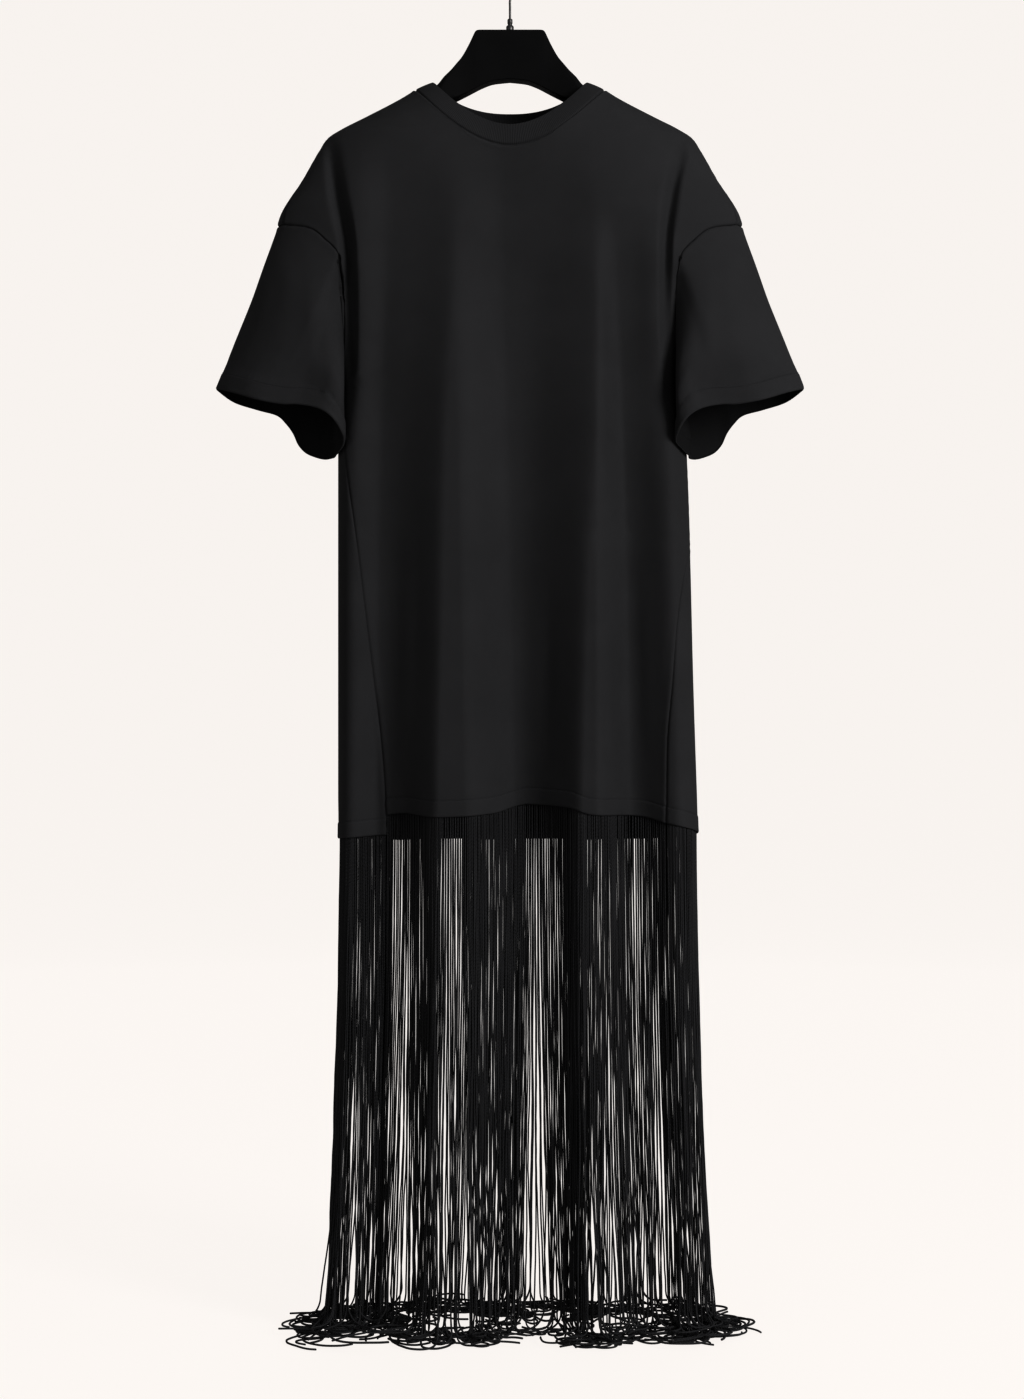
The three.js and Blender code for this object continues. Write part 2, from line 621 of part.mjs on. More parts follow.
// A solid through rings of equal length, with a flat fan at each end.
function loft(rings) {
  const count = rings[0].length;
  const points = rings.flat();
  const faces = [];
  for (let j = 0; j < rings.length - 1; j++)
    for (let i = 0; i < count; i++) {
      const k = (i + 1) % count;
      const [a, b, c, d] = [j * count + i, j * count + k, (j + 1) * count + k, (j + 1) * count + i];
      faces.push([a, b, c], [a, c, d]);
    }
  const last = (rings.length - 1) * count;
  for (let i = 1; i < count - 1; i++) {
    faces.push([0, i + 1, i]);
    faces.push([last, last + i, last + i + 1]);
  }
  return geometryFrom(points, faces);
}

function hangerBody() {
  const mirrored = HANGER_STATIONS.slice(1).reverse().map((row) => ({ ...row, x: -row.x }));
  const rings = [...mirrored, ...HANGER_STATIONS].map(({ x, top, bottom, depth }) => {
    const ring = [];
    for (let i = 0; i < HANGER_CORNERS; i++) {
      const angle = (i / HANGER_CORNERS) * 2 * Math.PI;
      // A rounded oblong: a circle with its sides pushed out, and its top left round.
      const push = (value, power) => Math.sign(value) * Math.abs(value) ** power;
      const y = (depth / 2) * push(Math.cos(angle), 0.75);
      const rise = push(Math.sin(angle), Math.sin(angle) > 0 ? 1 : 0.75);
      ring.push(new THREE.Vector3(x, y, (top + bottom) / 2 + ((top - bottom) / 2) * rise));
    }
    return ring;
  });
  return loft(rings);
}

function ferrule() {
  const foot = HANGER_STATIONS[0].top + SEAM_GAP;
  const profile = [
    [0, foot],
    [FERRULE.wide, foot],
    [FERRULE.wide, FERRULE.shoulderZ],
    [FERRULE.narrow, FERRULE.shoulderZ + 1.5],
    [FERRULE.narrow, FERRULE.topZ],
    [0, FERRULE.topZ],
  ].map(([r, z]) => new THREE.Vector2(r, z));
  return new THREE.LatheGeometry(profile, 16).rotateX(Math.PI / 2);
}

function hook() {
  const centreZ = WIRE_RADIUS - HOOK.radius;
  const points = [new THREE.Vector3(0, 0, HOOK.startZ), new THREE.Vector3(0, 0, HOOK.startZ + 10)];
  points.push(new THREE.Vector3(0, 0, HOOK.bendZ));
  const turns = 12;
  for (let i = 0; i <= turns; i++) {
    const angle = THREE.MathUtils.degToRad(THREE.MathUtils.lerp(HOOK.joinDeg, HOOK.endDeg, i / turns));
    points.push(new THREE.Vector3(HOOK.radius * Math.cos(angle), 0, centreZ + HOOK.radius * Math.sin(angle)));
  }
  const section = new THREE.Shape().absarc(0, 0, WIRE_RADIUS, 0, 2 * Math.PI);
  return new THREE.ExtrudeGeometry(section, {
    extrudePath: new THREE.CatmullRomCurve3(points),
    steps: HOOK.steps,
    curveSegments: 4,
    bevelEnabled: false,
  });
}

const wasm = await Module();
wasm.setup();

function solid(geometry) {
  const bare = new THREE.BufferGeometry();
  bare.setAttribute("position", geometry.getAttribute("position"));
  if (geometry.index) bare.setIndex(geometry.index);
  const merged = mergeVertices(bare, 1e-4);
  return new wasm.Manifold(
    new wasm.Mesh({
      numProp: 3,
      vertProperties: new Float32Array(merged.attributes.position.array),
      triVerts: new Uint32Array(merged.index.array),
    }),
  );
}

function geometryOf(body) {
  const { vertProperties, triVerts } = body.getMesh();
  const geometry = new THREE.BufferGeometry();
  geometry.setAttribute("position", new THREE.BufferAttribute(vertProperties, 3));
  geometry.setIndex(new THREE.BufferAttribute(triVerts, 1));
  return geometry;
}

// One strand: straight down from the strip, then a bend that lays its end out over the floor.
function strand(root, number) {
  const out = new THREE.Vector3(root.x / 200, (root.y / 70) * 1.25, 0).normalize();
  out.applyAxisAngle(new THREE.Vector3(0, 0, 1), (scatter(number, 1) - 0.5) * 0.12);
  const share = Math.abs(out.y);
  const reach = THREE.MathUtils.lerp(POOL.side, POOL.face, share) + (scatter(number, 2) - 0.5) * POOL.spread;
  const low = FLOOR_Z + FRINGE.lift + scatter(number, 3) * 3;
  const stops = [
    { out: 0, z: root.z + FRINGE.rootIn },
    { out: 2 + scatter(number, 4) * 2, z: THREE.MathUtils.lerp(root.z, FLOOR_Z, 0.5) },
    { out: 9, z: FLOOR_Z + 62 },
    { out: 9 + reach * 0.3, z: FLOOR_Z + 16 },
    { out: 9 + reach, z: low },
  ];
  const path = stops.map((stop) => root.clone().addScaledVector(out, stop.out).setZ(stop.z));
  const aside = new THREE.Vector3(-out.y, out.x, 0);
  const rings = path.map((point, n) => {
    const before = path[Math.max(0, n - 1)];
    const after = path[Math.min(path.length - 1, n + 1)];
    const tangent = n === 0 ? new THREE.Vector3(0, 0, -1) : after.clone().sub(before).normalize();
    const across = new THREE.Vector3().crossVectors(tangent, aside);
    return [0, 1, 2].map((corner) => {
      const angle = (corner / 3) * 2 * Math.PI;
      return point.clone()
        .addScaledVector(aside, FRINGE.strand * Math.cos(angle))
        .addScaledVector(across, FRINGE.strand * Math.sin(angle));
    });
  });
  return loft(rings);
}

// A strip that follows a hem, parted from it by the seam's gap, with its strands joined on.
function fringe(edge, normals, firstNumber) {
  const down = (p, z) => p.clone().setZ(p.z - z);
  const middle = edge.map((p, n) => p.clone().addScaledVector(normals[n], -CLOTH / 2));
  const level = normals.map((n) => n.clone().setZ(0).normalize());
  const rings = middle.map((p, n) => {
    const half = FRINGE.stripDepth / 2;
    const [outer, inner] = [half, -half].map((d) => p.clone().addScaledVector(level[n], d));
    const [high, low] = [SEAM_GAP + 0.1, SEAM_GAP + FRINGE.strip];
    return [down(outer, high), down(outer, low), down(inner, low), down(inner, high)];
  });
  let body = solid(loft(rings));
  const line = new THREE.CurvePath();
  for (let n = 1; n < middle.length; n++) line.add(new THREE.LineCurve3(middle[n - 1], middle[n]));
  const count = Math.floor(line.getLength() / FRINGE.spacing);
  for (let n = 0; n < count; n++) {
    const root = down(line.getPointAt((n + 0.5) / count), SEAM_GAP + FRINGE.strip);
    body = body.add(solid(strand(root, firstNumber + n)));
  }
  return { geometry: geometryOf(body), count };
}

const frontGrid = panelGrid(true);
const backGrid = panelGrid(false);
const armRows = { front: STEPS.armholeFront + 1, back: STEPS.armholeBack + 1 };
const columnOf = (grid, i, rows) => grid.slice(0, rows).map((line) => line.at(i));
const leftSleeve = sleeveGrid(-1, columnOf(frontGrid, 0, armRows.front), columnOf(backGrid, -1, armRows.back));
const rightSleeve = sleeveGrid(1, columnOf(frontGrid, -1, armRows.front), columnOf(backGrid, 0, armRows.back));
const neckOf = (grid) => grid[0].slice(STEPS.shoulder, STEPS.shoulder + STEPS.neck + 1);
const bandSeam = [...neckOf(frontGrid), ...neckOf(backGrid).slice(1, -1)];

const pieces = {
  front_panel: { grid: frontGrid, closed: false, group: "body" },
  back_panel: { grid: backGrid, closed: false, group: "body" },
  sleeve_left: { grid: leftSleeve, closed: true, group: "left" },
  sleeve_right: { grid: rightSleeve, closed: true, group: "right" },
  neck_band: { grid: bandGrid(bandSeam), closed: true, group: "neck" },
};
fitSeams(Object.values(pieces));

const dress = new THREE.Group();
function add(name, geometry, material) {
  const mesh = new THREE.Mesh(geometry, MATERIALS[material]);
  mesh.name = name;
  dress.add(mesh);
}
for (const [name, piece] of Object.entries(pieces))
  add(name, wall(piece), name === "neck_band" ? "rib" : "jersey");
const frontFringe = fringe(pieces.front_panel.grid.at(-1), pieces.front_panel.normals.at(-1), 0);
const backFringe = fringe(pieces.back_panel.grid.at(-1), pieces.back_panel.normals.at(-1), frontFringe.count);
add("fringe_front", frontFringe.geometry, "fringe");
add("fringe_back", backFringe.geometry, "fringe");
add("hanger_body", hangerBody(), "plastic");
add("hanger_ferrule", ferrule(), "steel");
add("hanger_hook", hook(), "steel");

export default dress;
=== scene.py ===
# %% [markdown]
# # A t-shirt dress with a floor-length fringe, on its hanger
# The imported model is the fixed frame: its nodes say where each sewn piece hangs.
# This script gives every piece a finer surface and a real finish, and leaves the sizes alone.
# Lengths are worked out in millimetres, as on a pattern, and turned into metres in the mesh.

# %% Load the frame
import math

import bmesh
import bpy
import numpy as np
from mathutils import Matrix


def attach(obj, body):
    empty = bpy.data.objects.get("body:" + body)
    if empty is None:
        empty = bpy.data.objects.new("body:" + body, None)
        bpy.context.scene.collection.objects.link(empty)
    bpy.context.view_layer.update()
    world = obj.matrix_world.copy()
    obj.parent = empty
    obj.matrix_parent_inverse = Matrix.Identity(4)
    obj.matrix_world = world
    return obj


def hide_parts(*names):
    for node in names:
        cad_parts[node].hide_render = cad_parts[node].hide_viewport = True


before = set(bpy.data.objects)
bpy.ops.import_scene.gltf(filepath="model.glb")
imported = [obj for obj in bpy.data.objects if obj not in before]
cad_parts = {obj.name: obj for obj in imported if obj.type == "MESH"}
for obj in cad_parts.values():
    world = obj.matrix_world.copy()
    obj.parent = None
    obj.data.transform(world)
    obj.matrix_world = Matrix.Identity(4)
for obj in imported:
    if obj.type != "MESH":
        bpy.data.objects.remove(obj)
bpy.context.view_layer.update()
chance = np.random.default_rng(11)

# %% [markdown]
# ## Camera and studio
# The picture was taken level, from about three metres, with a long lens, so lines stay upright.
# The dress hangs before a seamless pale sweep. A bowl does the same from every side: a flat
# floor that curves up all round, so no edge of it shows wherever the camera stands.
# The picture has strong contrast in its blacks, which the view's gamma gives.

# %% Camera
FLOOR_Z = -1559.0
camera = bpy.data.objects.new("camera", bpy.data.cameras.new("camera"))
bpy.context.scene.collection.objects.link(camera)
camera.location = (0.0023, -2.9, -0.848)
camera.rotation_euler = (math.radians(90), 0, 0)
camera.data.sensor_width = 36
camera.data.lens = 66.03
camera.data.clip_end = 60
bpy.context.scene.camera = camera
bpy.context.scene.view_settings.view_transform = "Standard"
bpy.context.scene.view_settings.gamma = 0.65
print("camera at", tuple(camera.location))


# %% Mesh helpers
def add_piece(name, points, faces, corner_uv=None, smooth=True):
    """A mesh object from points in millimetres (n, 3), faces as point numbers, and a UV pair
    for every corner of every face, in metres."""
    mesh = bpy.data.meshes.new(name)
    mesh.from_pydata((points * 0.001).tolist(), [], faces.tolist())
    if corner_uv is not None:
        layer = mesh.uv_layers.new(name="cloth")
        layer.data.foreach_set("uv", np.ascontiguousarray(corner_uv, np.float32).ravel())
    mesh.polygons.foreach_set("use_smooth", np.full(len(mesh.polygons), smooth))
    mesh.update()
    piece = bpy.data.objects.new(name, mesh)
    bpy.context.scene.collection.objects.link(piece)
    return piece


def grid_faces(rows, columns, closed=False):
    """Four-sided faces of a grid, as (row, column) pairs of each corner, turned so that a grid
    whose rows run down and whose columns run to the right faces the viewer."""
    spans = columns if closed else columns - 1
    row, column = np.meshgrid(np.arange(rows - 1), np.arange(spans), indexing="ij")
    corner_rows = np.stack([row, row + 1, row + 1, row], -1).reshape(-1, 4)
    corner_columns = np.stack([column, column, column + 1, column + 1], -1).reshape(-1, 4)
    return corner_rows, corner_columns


def add_grid(name, points, uv, closed=False):
    """A surface from a grid of points (rows, columns, 3) and its UV in millimetres. A closed
    grid joins its last column to its first, and its UV has one column more to end on."""
    rows, columns = points.shape[:2]
    at_row, at_column = grid_faces(rows, columns, closed)
    faces = at_row * columns + at_column % columns
    return add_piece(name, points.reshape(-1, 3), faces, uv[at_row, at_column] * 0.001)


def add_wall(piece, thickness, inner=0):
    """Give a surface its cloth: Solidify moves a copy of it inwards and closes the edges. The
    copy takes the material that is inner places further on, for the cloth's wrong side, which for the jersey is
    painted darker as shade."""
    wall = piece.modifiers.new("cloth", "SOLIDIFY")
    wall.thickness = thickness * 0.001
    wall.offset = -1
    wall.material_offset = inner


# %% Studio
def bowl_profile(count=48):
    """Radius and height of the studio: a flat floor, a quarter circle up, and a short wall."""
    turn = np.linspace(0, np.pi / 2, count)
    radius = np.concatenate([[0, 1500, 3200], 4000 + 2600 * np.sin(turn), [6600]])
    height = np.concatenate([[0, 0, 0], 2600 * (1 - np.cos(turn)), [6200]])
    return radius, height


radius, height = bowl_profile()
angle = np.linspace(0, 2 * np.pi, 96, endpoint=False)
bowl = np.stack([
    radius[:, None] * np.cos(angle),
    radius[:, None] * np.sin(angle),
    np.repeat((FLOOR_Z + height)[:, None], len(angle), 1),
], -1)
studio = add_grid("studio_sweep", bowl[::-1], np.zeros((len(radius), len(angle) + 1, 2)), closed=True)
print("studio bowl", len(studio.data.polygons), "faces")


# %% Lights
def add_light(name, place, aim, size, power):
    """A soft box at a place, turned to face its aim."""
    light = bpy.data.objects.new(name, bpy.data.lights.new(name, "AREA"))
    bpy.context.scene.collection.objects.link(light)
    light.data.shape = "RECTANGLE"
    light.data.size, light.data.size_y = size
    light.data.energy = power
    light.location = place
    way = np.array(aim, float) - np.array(place, float)
    yaw = math.atan2(way[1], way[0]) - math.pi / 2
    pitch = math.atan2(math.hypot(way[0], way[1]), -way[2])
    light.rotation_euler = (pitch, 0, yaw)
    return light


add_light("key_soft_box", (2.8, -2.9, 0.3), (0, 0, -0.8), (1.2, 2.2), 520)
add_light("fill_soft_box", (-2.7, -3.0, 0.2), (0, 0, -0.75), (1.2, 2.0), 45)
add_light("top_soft_box", (0.3, -0.8, 2.6), (0, 0, -0.8), (2.2, 1.8), 50)
world = bpy.data.worlds.new("studio_air")
world.use_nodes = True
world.node_tree.nodes["Background"].inputs["Color"].default_value = (1, 0.99, 0.97, 1)
world.node_tree.nodes["Background"].inputs["Strength"].default_value = 0.5
bpy.context.scene.world = world

# %% [markdown]
# ## Finishes
# Everything here is black, so the finishes differ in texture and gloss and hardly in colour.
# Each effect that several materials share is a shader group with named inputs: the loops of
# the jersey, the nap that clouds it, the ridges of a rib or a twisted cord, and fine grain.
# The cloth's patterns read the piece's own UV, in metres, so they follow the cloth as it folds.


# %% Node helpers
def add_node(tree, kind, inputs=(), **settings):
    """Add a node, with its settings, and fill its inputs from values or from other sockets."""
    node = tree.nodes.new(kind)
    for key, value in settings.items():
        setattr(node, key, value)
    for key, value in dict(inputs).items():
        if isinstance(value, bpy.types.NodeSocket):
            tree.links.new(value, node.inputs[key])
        else:
            node.inputs[key].default_value = value
    return node


def sum_up(tree, operation, *values):
    """One Math node, by its operation, and its result."""
    return add_node(tree, "ShaderNodeMath", enumerate(values), operation=operation).outputs[0]


def new_group(name, inputs, outputs):
    """A shader group, its incoming sockets and its outgoing sockets."""
    tree = bpy.data.node_groups.new(name, "ShaderNodeTree")
    for label, kind, value in inputs:
        socket = tree.interface.new_socket(label, in_out="INPUT", socket_type=kind)
        if value is not None:
            socket.default_value = value
    for label in outputs:
        tree.interface.new_socket(label, in_out="OUTPUT", socket_type="NodeSocketFloat")
    return tree, tree.nodes.new("NodeGroupInput").outputs, tree.nodes.new("NodeGroupOutput").inputs


# %% Jersey loops
def make_knit():
    """Height of plain jersey. Across, each wale is a V: its two legs rise towards its middle
    line. Down, a sine repeats each course, and it is shifted by how far the point is from the
    wale's middle, which slants the legs."""
    tree, given, out = new_group(
        "jersey_loops",
        [("Vector", "NodeSocketVector", None), ("Wale", "NodeSocketFloat", 0.0009),
         ("Course", "NodeSocketFloat", 0.0007)],
        ["Height"],
    )
    split = add_node(tree, "ShaderNodeSeparateXYZ", {0: given["Vector"]})
    wale = sum_up(tree, "DIVIDE", split.outputs[0], given["Wale"])
    middle = sum_up(tree, "ABSOLUTE", sum_up(tree, "SUBTRACT", sum_up(tree, "FRACT", wale), 0.5))
    course = sum_up(tree, "DIVIDE", split.outputs[1], given["Course"])
    slant = sum_up(tree, "ADD", course, sum_up(tree, "MULTIPLY", middle, 1.4))
    loops = sum_up(tree, "SINE", sum_up(tree, "MULTIPLY", slant, 2 * math.pi))
    legs = sum_up(tree, "SINE", sum_up(tree, "MULTIPLY", middle, 2 * math.pi))
    high = sum_up(tree, "MULTIPLY", sum_up(tree, "MULTIPLY_ADD", loops, 0.5, 0.5), legs)
    tree.links.new(high, out["Height"])
    return tree


KNIT = make_knit()


# %% Ridges
def make_ridges():
    """Height of parallel ridges: a sine of the distance across them, made fuller by a root.
    Slant adds a share of the distance along, which turns straight ribs into a cord's twist."""
    tree, given, out = new_group(
        "ridges",
        [("Vector", "NodeSocketVector", None), ("Pitch", "NodeSocketFloat", 0.002),
         ("Slant", "NodeSocketFloat", 0.0)],
        ["Height"],
    )
    split = add_node(tree, "ShaderNodeSeparateXYZ", {0: given["Vector"]})
    across = sum_up(tree, "MULTIPLY_ADD", split.outputs[1], given["Slant"], split.outputs[0])
    turns = sum_up(tree, "DIVIDE", across, given["Pitch"])
    wave = sum_up(tree, "SINE", sum_up(tree, "MULTIPLY", turns, 2 * math.pi))
    full = sum_up(tree, "POWER", sum_up(tree, "MULTIPLY_ADD", wave, 0.5, 0.5), 0.6)
    tree.links.new(full, out["Height"])
    return tree


RIDGES = make_ridges()


# %% Nap
def make_nap():
    """Soft clouds and fine fuzz: two noises in the object's own space, one of a hand's width
    and one of a fibre's. Cloud goes to the colour, and Fuzz to the roughness and the bump."""
    tree, given, out = new_group(
        "nap",
        [("Vector", "NodeSocketVector", None), ("Cloud size", "NodeSocketFloat", 14.0),
         ("Fuzz size", "NodeSocketFloat", 1500.0)],
        ["Cloud", "Fuzz"],
    )
    cloud = add_node(
        tree, "ShaderNodeTexNoise",
        {"Vector": given["Vector"], "Scale": given["Cloud size"], "Detail": 4.0, "Roughness": 0.6},
    )
    fuzz = add_node(
        tree, "ShaderNodeTexNoise",
        {"Vector": given["Vector"], "Scale": given["Fuzz size"], "Detail": 2.0, "Roughness": 0.7},
    )
    tree.links.new(cloud.outputs["Fac"], out["Cloud"])
    tree.links.new(fuzz.outputs["Fac"], out["Fuzz"])
    return tree


NAP = make_nap()


# %% Materials
def new_material(name, roughness, specular, sheen=0.0, metallic=0.0):
    """A material with one Principled shader, whose even values are set on its own sockets."""
    material = bpy.data.materials.new(name)
    material.use_nodes = True
    tree = material.node_tree
    shader = tree.nodes["Principled BSDF"]
    shader.inputs["Roughness"].default_value = roughness
    shader.inputs["Metallic"].default_value = metallic
    shader.inputs["Specular IOR Level"].default_value = specular
    shader.inputs["Sheen Weight"].default_value = sheen
    shader.inputs["Sheen Roughness"].default_value = 0.45
    return material, tree, shader


def black_cloth(name, dark, light, pattern, settings, relief, roughness, specular, sheen):
    """Black cloth: its pattern and fuzz raise the surface, the clouds of its nap take the colour from dark to
    light, and the pattern's hollows are painted darker than its tops, as painted shade in them."""
    material, tree, shader = new_material(name, roughness, specular, sheen)
    place = add_node(tree, "ShaderNodeTexCoord")
    weave = add_node(tree, "ShaderNodeGroup", node_tree=pattern)
    tree.links.new(place.outputs["UV"], weave.inputs["Vector"])
    for key, value in settings.items():
        weave.inputs[key].default_value = value
    nap = add_node(tree, "ShaderNodeGroup", node_tree=NAP)
    tree.links.new(place.outputs["Object"], nap.inputs["Vector"])
    # Painted shade: the pattern's height darkens its hollows, on top of the nap's random clouds.
    share = sum_up(tree, "MULTIPLY_ADD", weave.outputs["Height"], 0.45,
                   sum_up(tree, "MULTIPLY_ADD", nap.outputs["Cloud"], 0.36, 0.07))
    mix = add_node(tree, "ShaderNodeMix", {0: share, 6: (*dark, 1), 7: (*light, 1)}, data_type="RGBA")
    tree.links.new(mix.outputs[2], shader.inputs["Base Color"])
    rough = sum_up(tree, "MULTIPLY_ADD", nap.outputs["Fuzz"], 0.16, roughness - 0.08)
    tree.links.new(rough, shader.inputs["Roughness"])
    raised = sum_up(tree, "MULTIPLY_ADD", nap.outputs["Fuzz"], 0.35, weave.outputs["Height"])
    bump = add_node(tree, "ShaderNodeBump", {"Height": raised, "Distance": relief, "Strength": 0.6})
    tree.links.new(bump.outputs["Normal"], shader.inputs["Normal"])
    return material


LOOP_SIZE = {"Wale": 0.0010, "Course": 0.0008}
LOOP_RELIEF = 0.00018
JERSEY = black_cloth("jersey", (0.0105, 0.0105, 0.0109), (0.0255, 0.0255, 0.0268), KNIT,
                     LOOP_SIZE, LOOP_RELIEF, 0.86, 0.04, 0.004)
# The wrong side has about half the jersey's colour: painted shade, for the dark inside of the dress and
# sleeves.
INSIDE_SHADE = black_cloth("jersey_inside_painted_shade", (0.0056, 0.0056, 0.0058), (0.0128, 0.0128, 0.0133), KNIT,
                     LOOP_SIZE, LOOP_RELIEF, 0.9, 0.01, 0.0)
RIB = black_cloth("rib", (0.0068, 0.0068, 0.0071), (0.0212, 0.0212, 0.0222), RIDGES,
                  {"Pitch": 0.0021, "Slant": 0.0}, 0.0004, 0.86, 0.04, 0.004)
CORD = black_cloth("fringe", (0.0060, 0.0060, 0.0063), (0.0230, 0.0230, 0.0242), RIDGES,
                   {"Pitch": 0.0022, "Slant": 0.55}, 0.0005, 0.66, 0.04, 0.002)
THREAD = black_cloth("thread", (0.0070, 0.0070, 0.0074), (0.0220, 0.0220, 0.0230), RIDGES,
                     {"Pitch": 0.0006, "Slant": 0.5}, 0.0001, 0.60, 0.06, 0.004)


# %% Hanger plastic, wire and studio paint
def hard_finish(name, sizes, dark, light, gloss, relief, **even):
    """A hard finish: clouds take its colour from dark to light, and fine grain raises it. gloss
    names what roughens it, how strongly, and the roughness that this is added to."""
    material, tree, shader = new_material(name, **even)
    place = add_node(tree, "ShaderNodeTexCoord")
    nap = add_node(tree, "ShaderNodeGroup", {"Vector": place.outputs["Object"], **sizes}, node_tree=NAP)
    ramp = add_node(tree, "ShaderNodeValToRGB", {"Fac": nap.outputs["Cloud"]})
    ramp.color_ramp.elements[0].color = dark
    ramp.color_ramp.elements[1].color = light
    tree.links.new(ramp.outputs["Color"], shader.inputs["Base Color"])
    cause, strength, least = gloss
    rough = sum_up(tree, "MULTIPLY_ADD", nap.outputs[cause], strength, least)
    tree.links.new(rough, shader.inputs["Roughness"])
    bump = add_node(tree, "ShaderNodeBump", {"Height": nap.outputs["Fuzz"], "Distance": relief})
    tree.links.new(bump.outputs["Normal"], shader.inputs["Normal"])
    return material


PLASTIC = hard_finish("plastic", {"Cloud size": 22.0, "Fuzz size": 2600.0}, (0.0030, 0.0030, 0.0031, 1),
                      (0.0054, 0.0054, 0.0056, 1), ("Cloud", 0.22, 0.42), 0.00008,
                      roughness=0.5, specular=0.02)
STEEL = hard_finish("steel", {"Cloud size": 60.0, "Fuzz size": 3000.0}, (0.02, 0.0195, 0.019, 1),
                    (0.06, 0.059, 0.058, 1), ("Fuzz", 0.2, 0.36), 0.00002,
                    roughness=0.25, specular=0.5, metallic=1.0)
PAINT, paint_tree, paint_shader = new_material("studio_paint", 0.9, 0.1)
paint_shader.inputs["Base Color"].default_value = (0.015, 0.0147, 0.0144, 1)
paint_shader.inputs["Emission Color"].default_value = (1.0, 0.970, 0.947, 1)
paint_shader.inputs["Emission Strength"].default_value = 0.935
studio.data.materials.append(PAINT)
print("materials", [m.name for m in bpy.data.materials])

# %% [markdown]
# ## The body's form
# A T-shirt on a hanger is a flat tube with rounded sides. Short tables hold its size at each
# height, and a curve that never overshoots reads them in between. Each point of the cloth is
# found by how far round it lies from the middle of its panel, as a maker would measure it.


# %% Tables
def table(names, rows):
    """A short table as a column of numbers under each name, in the order of its first one."""
    return dict(zip(names.split(), np.array(sorted(rows), float).T))


def read(rows, column, place):
    """A column at places between the rows. The slope at a row is the harmonic mean of the
    slopes on its two sides, or none where they differ in sign, so a cubic between two rows
    never overshoots them."""
    keys = next(iter(rows.values()))
    values = rows[column]
    run = np.diff(keys)
    slope = np.diff(values) / run
    before, after = slope[:-1], slope[1:]
    same_way = before * after > 0
    harmonic = 2 * before * after / np.where(same_way, before + after, 1)
    tangent = np.concatenate([slope[:1], np.where(same_way, harmonic, 0), slope[-1:]])
    place = np.clip(place, keys[0], keys[-1])
    k = np.clip(np.searchsorted(keys, place, side="right") - 1, 0, len(run) - 1)
    t = (place - keys[k]) / run[k]
    return (
        values[k] * (2 * t**3 - 3 * t**2 + 1) + tangent[k] * run[k] * (t**3 - 2 * t**2 + t)
        + values[k + 1] * (3 * t**2 - 2 * t**3) + tangent[k + 1] * run[k] * (t**3 - t**2)
    )


def ease(k):
    """A soft step from 0 to 1."""
    k = np.clip(k, 0, 1)
    return k * k * (3 - 2 * k)


BODY = table("z left right front back round", [
    (-160, 107, 107, 40, 40, 107), (-170, 123, 123, 45, 44, 123), (-193, 167, 167, 49, 47, 150),
    (-204, 189, 189, 50, 48, 158), (-215, 206, 206, 51, 48, 158), (-227, 214, 214, 52, 49, 150),
    (-260, 233, 233, 53, 50, 148), (-314, 262, 262, 54, 51, 170), (-354, 262, 262, 55, 52, 170),
    (-378, 225, 225, 55, 53, 133), (-408, 205, 205, 56, 54, 113), (-448, 196, 196, 60, 56, 104),
    (-498, 191.5, 191.5, 62, 58, 99.5), (-548, 194, 198, 63, 60, 100),
    (-670, 194, 203, 66, 64, 100), (-828, 194, 207, 69, 67, 100), (-1010, 194, 213, 73, 70, 100),
])
FRONT_FOLDS = [table("z x depth turn step", rows) for rows in [
    [(-215, -130, 0, 40, 70), (-283, -133, 9, 40, 74), (-396, -137, 20, 42, 76), (-580, -143, 33, 44, 72),
     (-670, -145, 38, 44, 72), (-990, -147, 52, 42, 68)],
    [(-215, -6, 0, 50, 106), (-283, -6, 10, 52, 106), (-396, -4, 24, 58, 106), (-580, 0, 36, 58, 97),
     (-670, 2, 40, 58, 88), (-990, 8, 53, 58, 72)],
    [(-300, 118, 0, 24, 56), (-396, 120, 17, 24, 56), (-470, 124, 29, 28, 54), (-670, 132, 43, 38, 54),
     (-990, 138, 52, 44, 57)],
    [(-205, -205, 0, 10, 9), (-240, -199, 13, 12, 11), (-283, -192, 17, 13, 12), (-350, -181, 18, 11, 13),
     (-480, -178, 10, 14, 18), (-560, -176, 0, 14, 24)],
    [(-205, 196, 0, 12, 8), (-240, 190, 10, 13, 9), (-283, 181, 12, 13, 9), (-350, 173, 11, 12, 9),
     (-480, 171, 6, 14, 12), (-560, 171, 0, 18, 14)],
]]
BACK_FOLDS = [table("z x depth turn step", rows) for rows in [
    [(-280, -116, 0, 30, 26), (-500, -118, 6, 30, 26), (-1010, -126, 24, 22, 36)],
    [(-300, -14, 0, 30, 30), (-560, -18, 5, 30, 30), (-1010, -30, 22, 24, 34)],
    [(-260, 104, 0, 26, 30), (-500, 98, 7, 26, 30), (-1010, 84, 26, 20, 38)],
    [(-212, -184, 0, 16, 20), (-300, -178, 12, 16, 26), (-480, -176, 5, 14, 24),
     (-560, -176, 0, 14, 24)],
    [(-212, 184, 0, 20, 16), (-300, 178, 12, 26, 16), (-480, 176, 5, 24, 14),
     (-560, 177, 0, 24, 14)],
]]
print("body table", len(BODY["z"]), "rows; folds", len(FRONT_FOLDS) + len(BACK_FOLDS))


# %% A point of the cloth
def quarter(right, front, z):
    """One quarter of the section at a height: a flat run from the middle, then a quarter of an
    ellipse. Gives its depth, its round part, that part's length, the flat run and the total."""
    half = np.where(right, read(BODY, "right", z), read(BODY, "left", z))
    depth = np.where(front, read(BODY, "front", z), read(BODY, "back", z))
    round_part = np.minimum(half, read(BODY, "round", z))
    arc = (np.pi / 2) * np.sqrt((round_part**2 + depth**2) / 2)
    return depth, round_part, arc, half - round_part, half - round_part + arc


RIDGE_ROUND = 0.14


